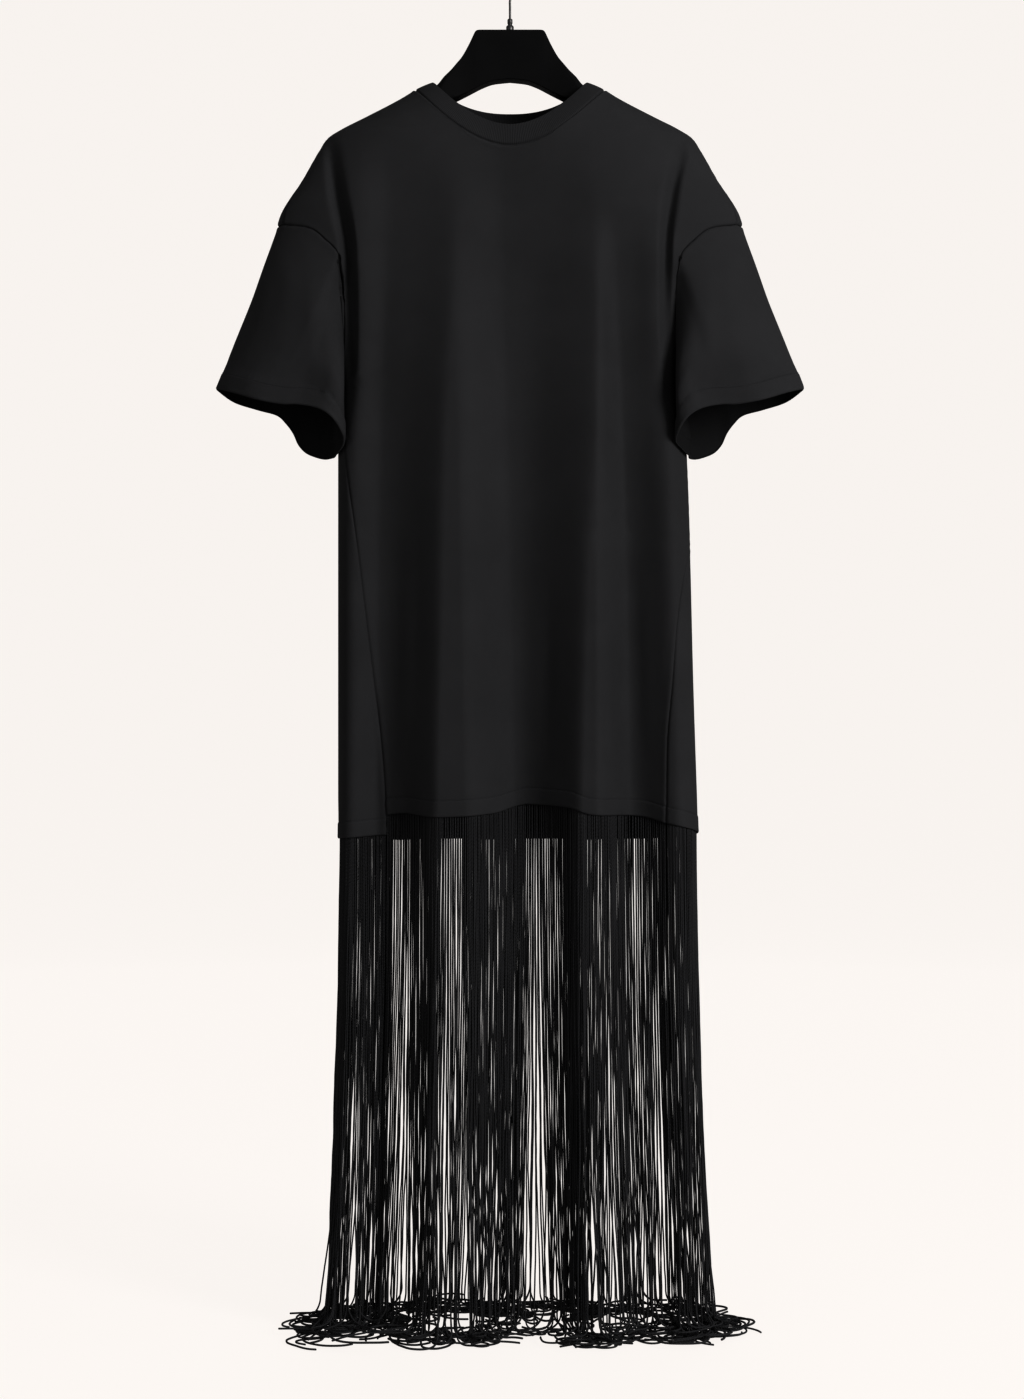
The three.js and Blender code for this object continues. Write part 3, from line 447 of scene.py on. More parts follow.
def fold_depth(folds, x, z):
    """How far the cloth falls in at a place: the deepest of the valleys there. On its left the
    cloth eases down into it, and on its right it rises faster and faster to a ridge, which a
    hypotenuse rounds off."""
    deep = np.zeros(np.broadcast(x, z).shape)
    for fold in folds:
        off = x - read(fold, "x", z)
        run = np.where(off < 0, read(fold, "turn", z), read(fold, "step", z))
        near = np.clip(1 - np.abs(off) / run, 0, 1)
        soft = (np.hypot(near, RIDGE_ROUND) - RIDGE_ROUND) / (np.hypot(1, RIDGE_ROUND) - RIDGE_ROUND)
        profile = np.where(off < 0, ease(near), 0.3 * ease(near) + 0.7 * (1 - (1 - soft) ** 2))
        deep = np.maximum(deep, read(fold, "depth", z) * profile)
    return deep


def body_point(front, s, z):
    """The cloth at s round from its panel's middle. Past the side it goes on round the other
    face, so a side seam may swing to the front."""
    right = s >= 0
    own = quarter(right, front, z)
    other = quarter(right, not front, z)
    run = np.abs(s)
    over = run > own[4]
    run = np.where(over, other[4] - (run - own[4]), run)
    depth, round_part, arc, flat = (np.where(over, b, a) for a, b in zip(own[:4], other[:4]))
    turn = np.maximum(0, run - flat) / arc * (np.pi / 2)
    x = np.where(right, 1, -1) * (np.minimum(run, flat) + round_part * np.sin(turn))
    on_front = over != front
    fold = np.where(on_front, fold_depth(FRONT_FOLDS, x, z), fold_depth(BACK_FOLDS, x, z))
    y = (depth - fold) * np.cos(turn)
    return np.stack([x, np.where(on_front, -y, y), z + 0 * x], -1)


def run_to(front, x, z):
    """The way back: how far round a panel a given x lies."""
    depth, round_part, arc, flat, total = quarter(x >= 0, front, z)
    beyond = np.clip((np.abs(x) - flat) / round_part, 0, 1)
    return np.sign(x) * (np.minimum(np.abs(x), flat) + np.arcsin(beyond) / (np.pi / 2) * arc)


# %% [markdown]
# ## Front and back
# Each panel is filled in from its four edges, as a pattern piece is: shoulders and neck on
# top, armholes and side seams down the sides, and the hem below. Its rows and columns lie
# closer together beside the seams and the hem, where the sewing has to show.

# %% Pattern edges
NECK_POINT = (107.0, -160.0)
NECK_LOW = {True: (-231.5, 1.9), False: (-198.0, 2.4)}
UNDERARM_Z = -498.0
SHOULDER = table("z forward", [(-160, 0), (-215, 0), (-260, 12), (-314, 38)])
ARMHOLE_FRONT = [(225, -321), (205, -336), (190, -354), (186, -378), (185, -408), (186, -448),
                 (189.3, -485)]
ARMHOLE_BACK = [(261.9, -314.5), (248, -316), *ARMHOLE_FRONT]
SIDE_LEFT = table("z x", [(-498, 192), (-588, 183), (-702, 167), (-828, 152), (-927, 142),
                          (-977.5, 139)])
SIDE_RIGHT = table("z x", [(-498, 192), (-520, 204), (-670, 204), (-702, 197), (-758, 188),
                           (-828, 181), (-900, 175), (-986, 174)])
SIDE_FOOT = {(True, -1): -977.5, (False, -1): -1000.0, (True, 1): -986.0, (False, 1): -986.0}
HEM_FRONT = table("x z", [(-139, -977.5), (-116, -975), (-86, -978), (-19, -975), (20, -965.5),
                          (63, -967.5), (89, -975), (147, -979), (174, -986)])
HEM_BACK = table("across z", [(-1, -1000), (-0.7, -1005), (-0.4, -1009), (0.4, -1009),
                              (0.75, -999), (1, -986)])


def smooth_line(points, shares):
    """A curve through points, cut at shares of its length. Each piece of it is the cubic whose
    slope at a point is half the step between that point's neighbours."""
    p = np.asarray(points, float)
    p = np.vstack([2 * p[0] - p[1], p, 2 * p[-1] - p[-2]])
    t = np.linspace(0, 1, 40, endpoint=False)[:, None]
    pieces = [
        0.5 * (2 * b + (c - a) * t + (2 * a - 5 * b + 4 * c - d) * t**2 + (3 * b - a - 3 * c + d) * t**3)
        for a, b, c, d in zip(p, p[1:], p[2:], p[3:])
    ]
    line = np.vstack([*pieces, p[-2:-1]])
    length = np.concatenate([[0], np.cumsum(np.linalg.norm(np.diff(line, axis=0), axis=1))])
    return np.stack([np.interp(np.asarray(shares) * length[-1], length, c) for c in line.T], -1)


def panel_length(front, sign, z):
    """How far round a panel's side lies from its middle."""
    return quarter(sign > 0, front, z)[4]


def shoulder_edge(front, sign, t):
    """The shoulder seam from the sleeve to the neck: it lies on the side of the section, and
    slips forward of it towards the sleeve."""
    z = SHOULDER["z"][0] + (NECK_POINT[1] - SHOULDER["z"][0]) * t
    slip = read(SHOULDER, "forward", z) * (-1 if front else 1)
    return np.stack([sign * (panel_length(front, sign, z) + slip), z], -1)


def neck_edge(front, t):
    """The neck seam from left to right: its height is a power of how far out it is."""
    low, power = NECK_LOW[front]
    sine = np.sin((t - 0.5) * np.pi)
    z = low + (NECK_POINT[1] - low) * np.abs(sine) ** power
    return np.stack([run_to(front, NECK_POINT[0] * sine, z), z], -1)


def armhole_edge(front, sign, t):
    """The armhole from the shoulder to the underarm."""
    rows = np.array(ARMHOLE_FRONT if front else ARMHOLE_BACK, float)
    middle = np.stack([run_to(front, sign * rows[:, 0], rows[:, 1]), rows[:, 1]], -1)
    under = (sign * panel_length(front, sign, UNDERARM_Z), UNDERARM_Z)
    top = shoulder_edge(front, sign, np.zeros(1))
    return smooth_line(np.vstack([top, middle, [under]]), t**1.3)


def side_edge(front, sign, t):
    """The side seam from the underarm to the hem, which swings round to the front."""
    z = UNDERARM_Z + (SIDE_FOOT[front, sign] - UNDERARM_Z) * t
    x = read(SIDE_LEFT if sign < 0 else SIDE_RIGHT, "x", z)
    run = np.abs(run_to(True, sign * x, z))
    if not front:
        run = panel_length(False, sign, z) + panel_length(True, sign, z) - run
    return np.stack([sign * run, z], -1)


# %% Where the rows and columns lie
from_edge = np.array([0, 0.0012, 0.0025, 0.004, 0.0058, 0.008, 0.011, 0.015, 0.02])
ACROSS = np.concatenate([from_edge, np.linspace(0.0265, 0.9735, 170), 1 - from_edge[::-1]])
top_rows = np.array([0, 0.004, 0.008, 0.012, 0.017, 0.023, 0.03, 0.04, 0.052, 0.066, 0.082, 0.1])
ARM_ROWS = np.concatenate([top_rows, np.linspace(0.118, 1, 52)])
hem_rows = np.array([32, 28, 25, 22.5, 21, 20, 19.3, 18.8, 18.4, 18, 17.6, 17.2, 16.6, 15.6, 14, 12,
                     9.5, 7, 5, 3.4, 2.2, 1.4, 0.8, 0.35, 0])
SIDE_LENGTH = 488
SIDE_ROWS = np.concatenate([np.linspace(0, 0.925, 78)[1:], 1 - hem_rows / SIDE_LENGTH])
TOP_FADE = 4.5


def panel_pattern(front):
    """The panel as a pattern (s, z). Between its edges the surface blends them: what the side
    edges give, plus what top and bottom add to them, fading from the top by a power."""
    left, right = (
        np.vstack([armhole_edge(front, sign, ARM_ROWS), side_edge(front, sign, SIDE_ROWS)])
        for sign in (-1, 1)
    )
    part = np.clip(np.stack([ACROSS * 4, (ACROSS - 0.25) * 2, (1 - ACROSS) * 4]), 0, 1)
    top = np.where(
        (ACROSS < 0.25)[:, None], shoulder_edge(front, -1, part[0]),
        np.where((ACROSS > 0.75)[:, None], shoulder_edge(front, 1, part[2]), neck_edge(front, part[1])),
    )
    s = left[-1, 0] + (right[-1, 0] - left[-1, 0]) * ACROSS
    hem = read(HEM_BACK, "z", ACROSS * 2 - 1)
    if front:
        hem = read(HEM_FRONT, "z", body_point(True, s, np.full_like(s, -977.5))[:, 0])
    bottom = np.stack([s, hem], -1)
    bottom[0], bottom[-1] = left[-1], right[-1]
    down = np.concatenate([[0], np.cumsum(np.linalg.norm(np.diff(left, axis=0), axis=1))])
    low = (1 - (1 - down / down[-1]) ** TOP_FADE)[:, None, None]
    u = ACROSS[None, :, None]
    corners = (1 - low) * ((1 - u) * top[0] + u * top[-1]) + low * ((1 - u) * bottom[0] + u * bottom[-1])
    return (1 - low) * top + low * bottom + (1 - u) * left[:, None] + u * right[:, None] - corners


# %% Sewing in the surface
HEM_STITCH = 18.0
STITCH_PITCH = 3.4


def normals(points, closed=False):
    """Unit normals of a grid: the step down crossed with the step across."""
    across = np.gradient(points, axis=1)
    if closed:
        across = np.roll(points, -1, 1) - np.roll(points, 1, 1)
    n = np.cross(np.gradient(points, axis=0), across)
    return n / np.linalg.norm(n, axis=-1, keepdims=True)


def lengths(points, axis):
    """How far each point of a grid lies along its row or column."""
    step = np.linalg.norm(np.diff(points, axis=axis), axis=-1)
    start = np.zeros_like(np.take(step, [0], axis))
    return np.concatenate([start, np.cumsum(step, axis)], axis)


def seam_relief(away, along, wide=1.2, deep=1.1):
    """Beside a seam: the cloth rolls down into it, and puckers a little between the stitches."""
    pucker = 0.16 * np.sin(2 * np.pi * along / 13 + 1.7 * np.sin(along / 41)) * np.exp(-((away / 7) ** 2))
    return pucker - deep * np.exp(-((away / wide) ** 2)) + 0.3 * np.exp(-(((away - 4) / 2.4) ** 2))


def hem_relief(up, along, stitch):
    """A turned-up hem: a second layer lifts it up to the stitching, which draws it in."""
    layer = 0.75 * ease((stitch + 0.9 - up) / 1.2)
    drawn = 0.7 * np.exp(-(((up - stitch) / 0.9) ** 2)) * (1 + 0.25 * np.sin(2 * np.pi * along / STITCH_PITCH))
    ripple = 0.35 * np.sin(2 * np.pi * along / 47 + 2 * np.sin(along / 90)) * ease(up / 6) * ease(1.6 - up / 30)
    return layer - drawn + ripple - 0.7 * np.exp(-((up / 0.8) ** 2))


def soft_creases(rows, x, z):
    """Long soft creases. Each runs from one place to another, and its height falls off as a
    bell across it and towards its ends."""
    total = np.zeros_like(x)
    for x0, z0, x1, z1, wide, high in rows:
        way = np.array([x1 - x0, z1 - z0])
        long = np.hypot(*way)
        t = ((x - x0) * way[0] + (z - z0) * way[1]) / long**2
        off = ((x - x0) * way[1] - (z - z0) * way[0]) / long
        t = np.clip(t, 0, 1)
        total += high * np.exp(-((off / wide) ** 2)) * ease(2.2 * t) * ease(2.2 * (1 - t))
    return total


FRONT_CREASES = [
    (-150, -250, -168, -520, 14, 2.0), (150, -255, 166, -530, 13, 1.8), (-120, -270, -128, -640, 20, 1.6),
    (-30, -330, -44, -840, 26, 1.4), (30, -300, 22, -760, 22, -1.2), (128, -330, 140, -880, 18, 1.6),
    (-168, -560, -172, -960, 12, 1.4), (-112, -620, -118, -960, 9, 1.0), (2, -660, -6, -960, 14, 1.6),
    (44, -700, 38, -960, 9, -1.0), (112, -700, 108, -960, 12, 1.2), (-60, -240, -96, -300, 18, 0.9),
    (62, -240, 100, -300, 18, 0.9), (150, -640, 158, -965, 8, 1.0),
]
BACK_CREASES = [
    (-140, -240, -160, -520, 14, 1.8), (138, -240, 160, -560, 14, 1.8), (-60, -300, -72, -900, 24, 1.8),
    (40, -260, 34, -820, 26, -1.4), (60, -400, 52, -960, 16, 1.6), (140, -560, 150, -980, 15, 1.4),
    (-170, -600, -160, -980, 14, 1.4), (-20, -230, -80, -330, 20, 1.0), (20, -230, 84, -330, 20, 1.0),
]


# %% Make the two panels
def panel_surface(front):
    """A panel's points, with its seams, hem and creases raised along its own normals."""
    pattern = panel_pattern(front)
    points = body_point(front, pattern[..., 0], pattern[..., 1])
    if not front:
        pattern, points = pattern[:, ::-1], points[:, ::-1]
    across, down = lengths(points, 1), lengths(points, 0)
    raised = np.zeros(points.shape[:2])
    for away in (across, across[:, -1:] - across):
        raised += seam_relief(away, down)
    raised += seam_relief(down, across, wide=1.8, deep=1.7)
    up = down[-1:] - down
    raised += hem_relief(up, across, HEM_STITCH)
    rows = FRONT_CREASES if front else BACK_CREASES
    creases = soft_creases(rows, points[..., 0], points[..., 2])
    raised += creases * ease(across / 20) * ease((across[:, -1:] - across) / 20)
    cloth = points + normals(points) * raised[..., None]
    return cloth, points, pattern, up


CLOTH = 1.4


def make_jersey(piece):
    """Give a surface the jersey's thickness, and its wrong side a darker jersey, as painted shade inside the
    dress and sleeves.
    """
    add_wall(piece, CLOTH, 1)
    piece.data.materials.append(JERSEY)
    piece.data.materials.append(INSIDE_SHADE)


front_cloth, front_plain, front_pattern, front_up = panel_surface(True)
back_cloth, back_plain, back_pattern, back_up = panel_surface(False)
front = add_grid("front_jersey", front_cloth, front_pattern)
back = add_grid("back_jersey", back_cloth, back_pattern)
for piece in (front, back):
    make_jersey(piece)
    print(piece.name, len(piece.data.polygons), "faces")

# %% [markdown]
# ## Sleeves
# A sleeve is a tube from the armhole to its own hem. Its hem is listed once round, with the
# ripple that the cloth makes underneath, and the rows between are drawn straight and then
# swelled into the fold that hangs beside the body.

# %% Sleeve tables
SLEEVE_HEM_FRONT = [
    (329, -8, -498.5), (310, -32, -505), (281, -50, -515), (254, -51, -520), (236, -53, -520.5),
    (217, -57, -524), (204, -60, -530), (194, -59, -539), (187, -53, -550), (184.5, -43, -558),
    (187, -32, -566), (193, -22, -572), (198.5, -4, -575.5),
]
SLEEVE_HEM_BACK = [
    (331, 6, -498.5), (315, 30, -509), (290, 45, -516), (268, 48, -522), (257, 44, -532),
    (249, 44, -543), (243, 42, -556), (234, 35, -566), (222, 26, -572), (210, 15, -575.5),
]
SLEEVE_REST = 4.0
SLEEVE_STITCH = 20.0
SLEEVE_LENGTH = 230
SLEEVE_RELIEF = 1.7
SWELL_FORWARD, SWELL_INWARD = 12, 3


def rest_outside(points, clearance):
    """Move points that fall inside the body's side out to its surface plus the clearance."""
    x, y, z = np.moveaxis(points, -1, 0)
    depth = np.where(y < 0, read(BODY, "front", z), read(BODY, "back", z))
    _, round_part, _, flat, _ = quarter(x > 0, True, z)
    dx = (np.abs(x) - flat) / (round_part + clearance)
    dy = y / (depth + clearance)
    reach = np.hypot(dx, dy)
    inside = (dx > 0) & (reach < 1)
    reach = np.where(inside, np.maximum(reach, 1e-6), 1)
    new_x = np.sign(x) * (flat + dx / reach * (round_part + clearance))
    return np.stack([np.where(inside, new_x, x), y / reach, z], -1)


def sleeve_surface(sign):
    """A sleeve's points: each row lies between the armhole and the hem, swelled in the middle
    towards the sharp fold that hangs beside the body, and kept off the body."""
    turn = np.linspace(0, 1, 91)
    half = {}
    for is_front in (True, False):
        edge = armhole_edge(is_front, sign, turn)
        half[is_front] = body_point(is_front, edge[:, 0], edge[:, 1])
    front_hem = smooth_line(SLEEVE_HEM_FRONT, turn**1.3)
    back_hem = smooth_line([SLEEVE_HEM_FRONT[0], *SLEEVE_HEM_BACK, SLEEVE_HEM_FRONT[-1]], turn**1.3)
    side = np.array([sign, 1, 1])
    start = np.vstack([half[True], half[False][-2:0:-1]])
    end = np.vstack([front_hem, back_hem[-2:0:-1]]) * side
    rows = np.concatenate([[0, 0.003, 0.006, 0.01, 0.015, 0.022, 0.03], np.linspace(0.045, 0.84, 40),
                           1 - hem_rows[3:] / SLEEVE_LENGTH])
    v = rows[:, None, None]
    points = start + (end - start) * v
    place = np.concatenate([turn, 1 + turn[1:-1]])
    near = ease((268 - np.abs(points[..., 0])) / 75) * np.where(place <= 1, ease((0.86 - place) / 0.09), 0)
    swell = near * (ease(rows / 0.5) * ease((1 - rows) / 0.4))[:, None]
    points[..., 1] -= SWELL_FORWARD * swell
    points[..., 0] -= sign * SWELL_INWARD * swell
    settled = rest_outside(points, SLEEVE_REST * ease(rows / 0.14)[:, None])
    points = np.where(rows[:, None, None] > 0, settled, points)
    if sign > 0:
        points = points[:, ::-1]
    return points


SLEEVE_CREASES = [
    (242, -345, 268, -500, 16, 1.6), (224, -350, 214, -520, 10, 1.4), (282, -350, 300, -480, 12, -1.2),
    (206, -370, 196, -540, 8, 1.0), (262, -330, 236, -420, 12, 1.0),
]


def make_sleeve(name, sign):
    """The sleeve with its armhole seam, hem and soft creases raised in it."""
    points = sleeve_surface(sign)
    down = lengths(points, 0)
    ring = np.concatenate([points, points[:, :1]], 1)
    around = lengths(ring, 1)
    raised = seam_relief(down, around[:, :-1])
    up = down[-1:] - down
    raised += SLEEVE_RELIEF * hem_relief(up, around[:, :-1], SLEEVE_STITCH)
    raised += soft_creases(SLEEVE_CREASES, np.abs(points[..., 0]), points[..., 2]) * ease(down / 20)
    cloth = points + normals(points, closed=True) * raised[..., None]
    uv = np.stack([around, -np.concatenate([down, down[:, :1]], 1)], -1)
    piece = add_grid(name, cloth, uv, closed=True)
    make_jersey(piece)
    print(name, len(piece.data.polygons), "faces, hem", round(around[-1, -1]), "mm round")
    return piece, cloth, points, up


left_sleeve, left_cloth, left_plain, left_up = make_sleeve("left_sleeve_jersey", -1)
right_sleeve, right_cloth, right_plain, right_up = make_sleeve("right_sleeve_jersey", 1)

# %% [markdown]
# ## Neck band
# The band is a folded strip of rib: two layers and a soft round fold on top. So its section
# is drawn as a closed profile, up the outside, over the fold and down the inside, and carried
# round the neck seam.

# %% Make the neck band
NECK_TOP = {True: (-48.0, -208.0), False: (45.0, -176.5)}
BAND_THICK = 2.4


def neck_ring(count=110):
    """The neck seam and the band's top edge, once round, from the left point by the front."""
    seam, top = [], []
    for is_front in (True, False):
        t = np.linspace(0, 1, count)
        t = t if is_front else t[::-1][1:-1]
        edge = neck_edge(is_front, t)
        at_seam = body_point(is_front, edge[:, 0], edge[:, 1])
        sine = at_seam[:, 0] / NECK_POINT[0]
        deep, low = NECK_TOP[is_front]
        power = NECK_LOW[is_front][1]
        seam.append(at_seam)
        top.append(np.stack([
            87 * sine,
            deep * np.sqrt(np.clip(1 - sine**2, 0, 1)),
            low + (-151 - low) * np.abs(sine) ** power,
        ], -1))
    return np.vstack(seam), np.vstack(top)


def make_band():
    """The profile carried round: along it runs the distance up from the seam, and out of it the
    distance from the band's outer face."""
    seam, top = neck_ring()
    up = top - seam
    high = np.linalg.norm(up, axis=1, keepdims=True)
    up = up / high
    along_ring = np.roll(seam, -1, 0) - np.roll(seam, 1, 0)
    out = np.cross(along_ring, up)
    out /= np.linalg.norm(out, axis=1, keepdims=True)
    fold = np.linspace(0, np.pi, 15)
    half = BAND_THICK / 2
    share = np.concatenate([[0, 0.02, 0.04, 0.07, 0.1, 0.14], np.linspace(0.2, 0.93, 14)])
    rise = np.concatenate([share, np.full(15, 1.0), share[::-1]])
    over = np.concatenate([np.zeros(len(share)), half * np.sin(fold) - half, np.zeros(len(share))])
    outer = -1.7 * np.exp(-((share * 22 / 1.1) ** 2)) + 0.5 * np.sin(np.pi * share) ** 0.7
    depth = np.concatenate([outer, half * np.cos(fold) - half, np.full(len(share), -BAND_THICK)])
    lift = rise[:, None] * (high[:, 0] - half)[None] * (rise < 1)[:, None]
    lift = lift + ((rise == 1)[:, None] * (high[:, 0][None] + over[:, None]))
    points = seam + up * lift[..., None] + out * depth[:, None, None]
    points = points[::-1]
    ring = np.linalg.norm(np.roll(seam, -1, 0) - seam, axis=1)
    around = np.concatenate([[0], np.cumsum(ring)])
    travelled = np.concatenate([[0], np.cumsum(np.linalg.norm(np.diff(points[:, 0], axis=0), axis=1))])
    uv = np.stack(np.broadcast_arrays(around[None], travelled[:, None]), -1)
    piece = add_grid("neck_band_rib", points, uv, closed=True)
    piece.data.materials.append(RIB)
    print("neck band", round(around[-1]), "mm round,", len(piece.data.polygons), "faces")
    return piece


band = make_band()

# %% [markdown]
# ## Stitches
# The hems are held by one row of thread. Each stitch is a short round-ended bead that dips
# into the cloth at both ends, so one function makes many small tubes at once, from arrays.


# %% Tubes from arrays
def add_tubes(name, paths, side, radius, sides):
    """Many tubes as one mesh. paths is (tubes, points, 3), side is a unit vector across each
    path, and a ring at each point is side and the vector square to it, turned by an angle.
    A point at each end closes the tube."""
    count, rings = paths.shape[:2]
    along = np.gradient(paths, axis=1)
    along /= np.linalg.norm(along, axis=-1, keepdims=True)
    square = np.cross(side, along)
    square /= np.linalg.norm(square, axis=-1, keepdims=True)
    turn = np.arange(sides) / sides * 2 * np.pi
    ring = (
        paths[:, :, None] + radius[:, :, None, None]
        * (side[:, :, None] * np.cos(turn)[:, None] + square[:, :, None] * np.sin(turn)[:, None])
    )
    tip = radius[:, [0, -1], None] * 0.6
    ends = paths[:, [0, -1]] + np.stack([-along[:, 0], along[:, -1]], 1) * tip
    points = np.concatenate([ring.reshape(count, -1, 3), ends], 1)
    row, column = grid_faces(rings, sides, closed=True)
    quads = row * sides + column % sides
    body = np.concatenate([quads[:, [0, 1, 2]], quads[:, [0, 2, 3]]])
    i = np.arange(sides)
    k = (i + 1) % sides
    first = np.stack([np.full(sides, rings * sides), i, k], -1)
    last = np.stack([np.full(sides, rings * sides + 1), (rings - 1) * sides + k, (rings - 1) * sides + i], -1)
    one = np.concatenate([body, first, last])
    faces = (one[None] + (np.arange(count) * points.shape[1])[:, None, None]).reshape(-1, 3)
    length = lengths(paths, 1)
    u = np.concatenate([np.stack([column[:, [0, 1, 2]], row[:, [0, 1, 2]]], -1),
                        np.stack([column[:, [0, 2, 3]], row[:, [0, 2, 3]]], -1)])
    cap = np.stack([np.stack([i, i, i + 1], -1), np.zeros((sides, 3), int)], -1)
    end = np.stack([np.stack([i, i + 1, i], -1), np.full((sides, 3), rings - 1)], -1)
    u = np.concatenate([u, cap, end])
    wide = radius.mean() * 2 * np.pi / sides
    uv = np.stack(np.broadcast_arrays(u[None, ..., 0] * wide, length[:, u[..., 1]]), -1)
    return add_piece(name, points.reshape(-1, 3), faces, uv.reshape(-1, 3, 2) * 0.001)


# %% Stitch rows
def line_above(points, up, height):
    """The line on a grid that lies a given distance above its hem, one point a column."""
    k = np.clip((up > height).sum(0) - 1, 0, len(up) - 2)
    column = np.arange(points.shape[1])
    share = (up[k, column] - height) / (up[k, column] - up[k + 1, column])
    return points[k, column] + (points[k + 1, column] - points[k, column]) * share[:, None]


def resample(line, places, values):
    """Values along a line, read at new places."""
    return np.stack([np.interp(places, line, c) for c in values.T], -1)


def make_stitches(name, cloth, up, height, closed=False):
    """One stitch each pitch along the line, as a bead that rises over the cloth and dips."""
    line = line_above(cloth, up, height)
    out = line_above(normals(cloth, closed), up, height)
    if closed:
        line, out = (np.vstack([a, a[:1]]) for a in (line, out))
    length = np.concatenate([[0], np.cumsum(np.linalg.norm(np.diff(line, axis=0), axis=1))])
    starts = np.arange(2, length[-1] - 4, STITCH_PITCH)
    part = np.linspace(0, 1, 6)
    places = starts[:, None] + part * (STITCH_PITCH - 0.7)
    path = resample(length, places.ravel(), line).reshape(*places.shape, 3)
    normal = resample(length, places.ravel(), out).reshape(*places.shape, 3)
    normal /= np.linalg.norm(normal, axis=-1, keepdims=True)
    path = path + normal * (0.42 * np.sin(np.pi * part) - 0.1)[:, None]
    radius = np.broadcast_to(0.26 * np.sqrt(np.clip(1 - (2 * part - 1) ** 4, 0.2, 1)), places.shape)
    piece = add_tubes(name, path, normal, radius, 5)
    piece.data.materials.append(THREAD)
    print(name, len(starts), "stitches")
    return piece


stitches = {
    "front": make_stitches("front_hem_stitches", front_cloth, front_up, HEM_STITCH),
    "back": make_stitches("back_hem_stitches", back_cloth, back_up, HEM_STITCH),
    "left": make_stitches("left_sleeve_stitches", left_cloth, left_up, SLEEVE_STITCH, True),
    "right": make_stitches("right_sleeve_stitches", right_cloth, right_up, SLEEVE_STITCH, True),
}

# %% [markdown]
# ## Fringe
# The fringe is soft round cord, sewn side by side behind the hem. A cord hangs straight, sways
# a little, gathers with its neighbours into bands on the way down, and lies out over the floor.
# Only its direction is chosen, how steep and which way it heads, and adding up short steps in
# that direction gives its path, so that every cord keeps its length however it bends.

# %% Where the bands part
# Each gap has its middle across the dress and half of its width near the floor.
CORD_RADIUS = 0.84
GAPS = [(-168, 6), (-117, 10), (-71, 6), (-51, 6), (28, 14), (112, 13), (165, 7), (199, 5)]


def gathered(x):
    """Where a cord ends up across the dress: the few cords next to a gap are spread over it,
    and the rest close up between the gaps."""
    from_x, to_x = [-260.0], [-260.0]
    for middle, half in GAPS:
        from_x += [middle - 0.42 * half, middle + 0.42 * half]
        to_x += [middle - half, middle + half]
    return np.interp(x, [*from_x, 280.0], [*to_x, 280.0])


THIN_SPOTS = table("x pitch", [
    (-230, 1.8), (-180, 1.7), (-172, 2.7), (-155, 2.7), (-150, 1.7), (-138, 1.7), (-132, 2.9),
    (-97, 2.9), (-92, 1.7), (-80, 1.9), (-74, 2.75), (-46, 2.75), (-40, 2.0), (-34, 2.0), (-28, 2.75),
    (-12, 2.75), (-7, 1.7), (13, 1.7), (19, 2.95), (64, 2.95), (69, 1.65), (86, 1.65), (92, 2.7),
    (170, 2.8), (177, 1.75), (185, 1.75), (190, 2.6), (205, 2.6), (230, 1.8),
])


def cord_roots(edge, inward):
    """Roots along a hem, at a pitch that the table gives by how far across the dress they are."""
    length = np.concatenate([[0], np.cumsum(np.linalg.norm(np.diff(edge, axis=0), axis=1))])
    density = 1 / read(THIN_SPOTS, "pitch", edge[:, 0])
    number = np.concatenate([[0], np.cumsum((density[1:] + density[:-1]) / 2 * np.diff(length))])
    count = int(number[-1])
    places = np.interp(np.arange(count) + 0.5, number, length)
    places = np.clip(places + chance.uniform(-0.3, 0.3, count), 1.2, length[-1] - 1.2)
    roots = resample(length, places, edge)
    inwards = resample(length, places, inward)
    return roots + inwards * 2.5 + chance.uniform(-0.3, 0.3, (count, 1)) * inwards


# %% The path of every cord
# The runs are lengths along the floor, and reach says how much longer they are in each heap.
FLAT_SHARE = 2 / np.pi
HANG_RINGS, FALL_RINGS = 42, 32
BUNDLE_WIDE, STRAY_SHARE, CURLY_SHARE = 15, 0.28, 0.74
BEND, CURLY_RUN, STRAIGHT_RUN = (14, 44), (32, 86), (6, 34)
HEAP_HIGH = 13
HEAPS = table("x reach", [
    (-230, 0.9), (-190, 1.3), (-155, 2.0), (-118, 1.2), (-60, 1.0), (-15, 0.8), (8, 0.3), (46, 0.3),
    (66, 1.1), (110, 0.9), (150, 1.6), (190, 1.4), (230, 0.9),
])


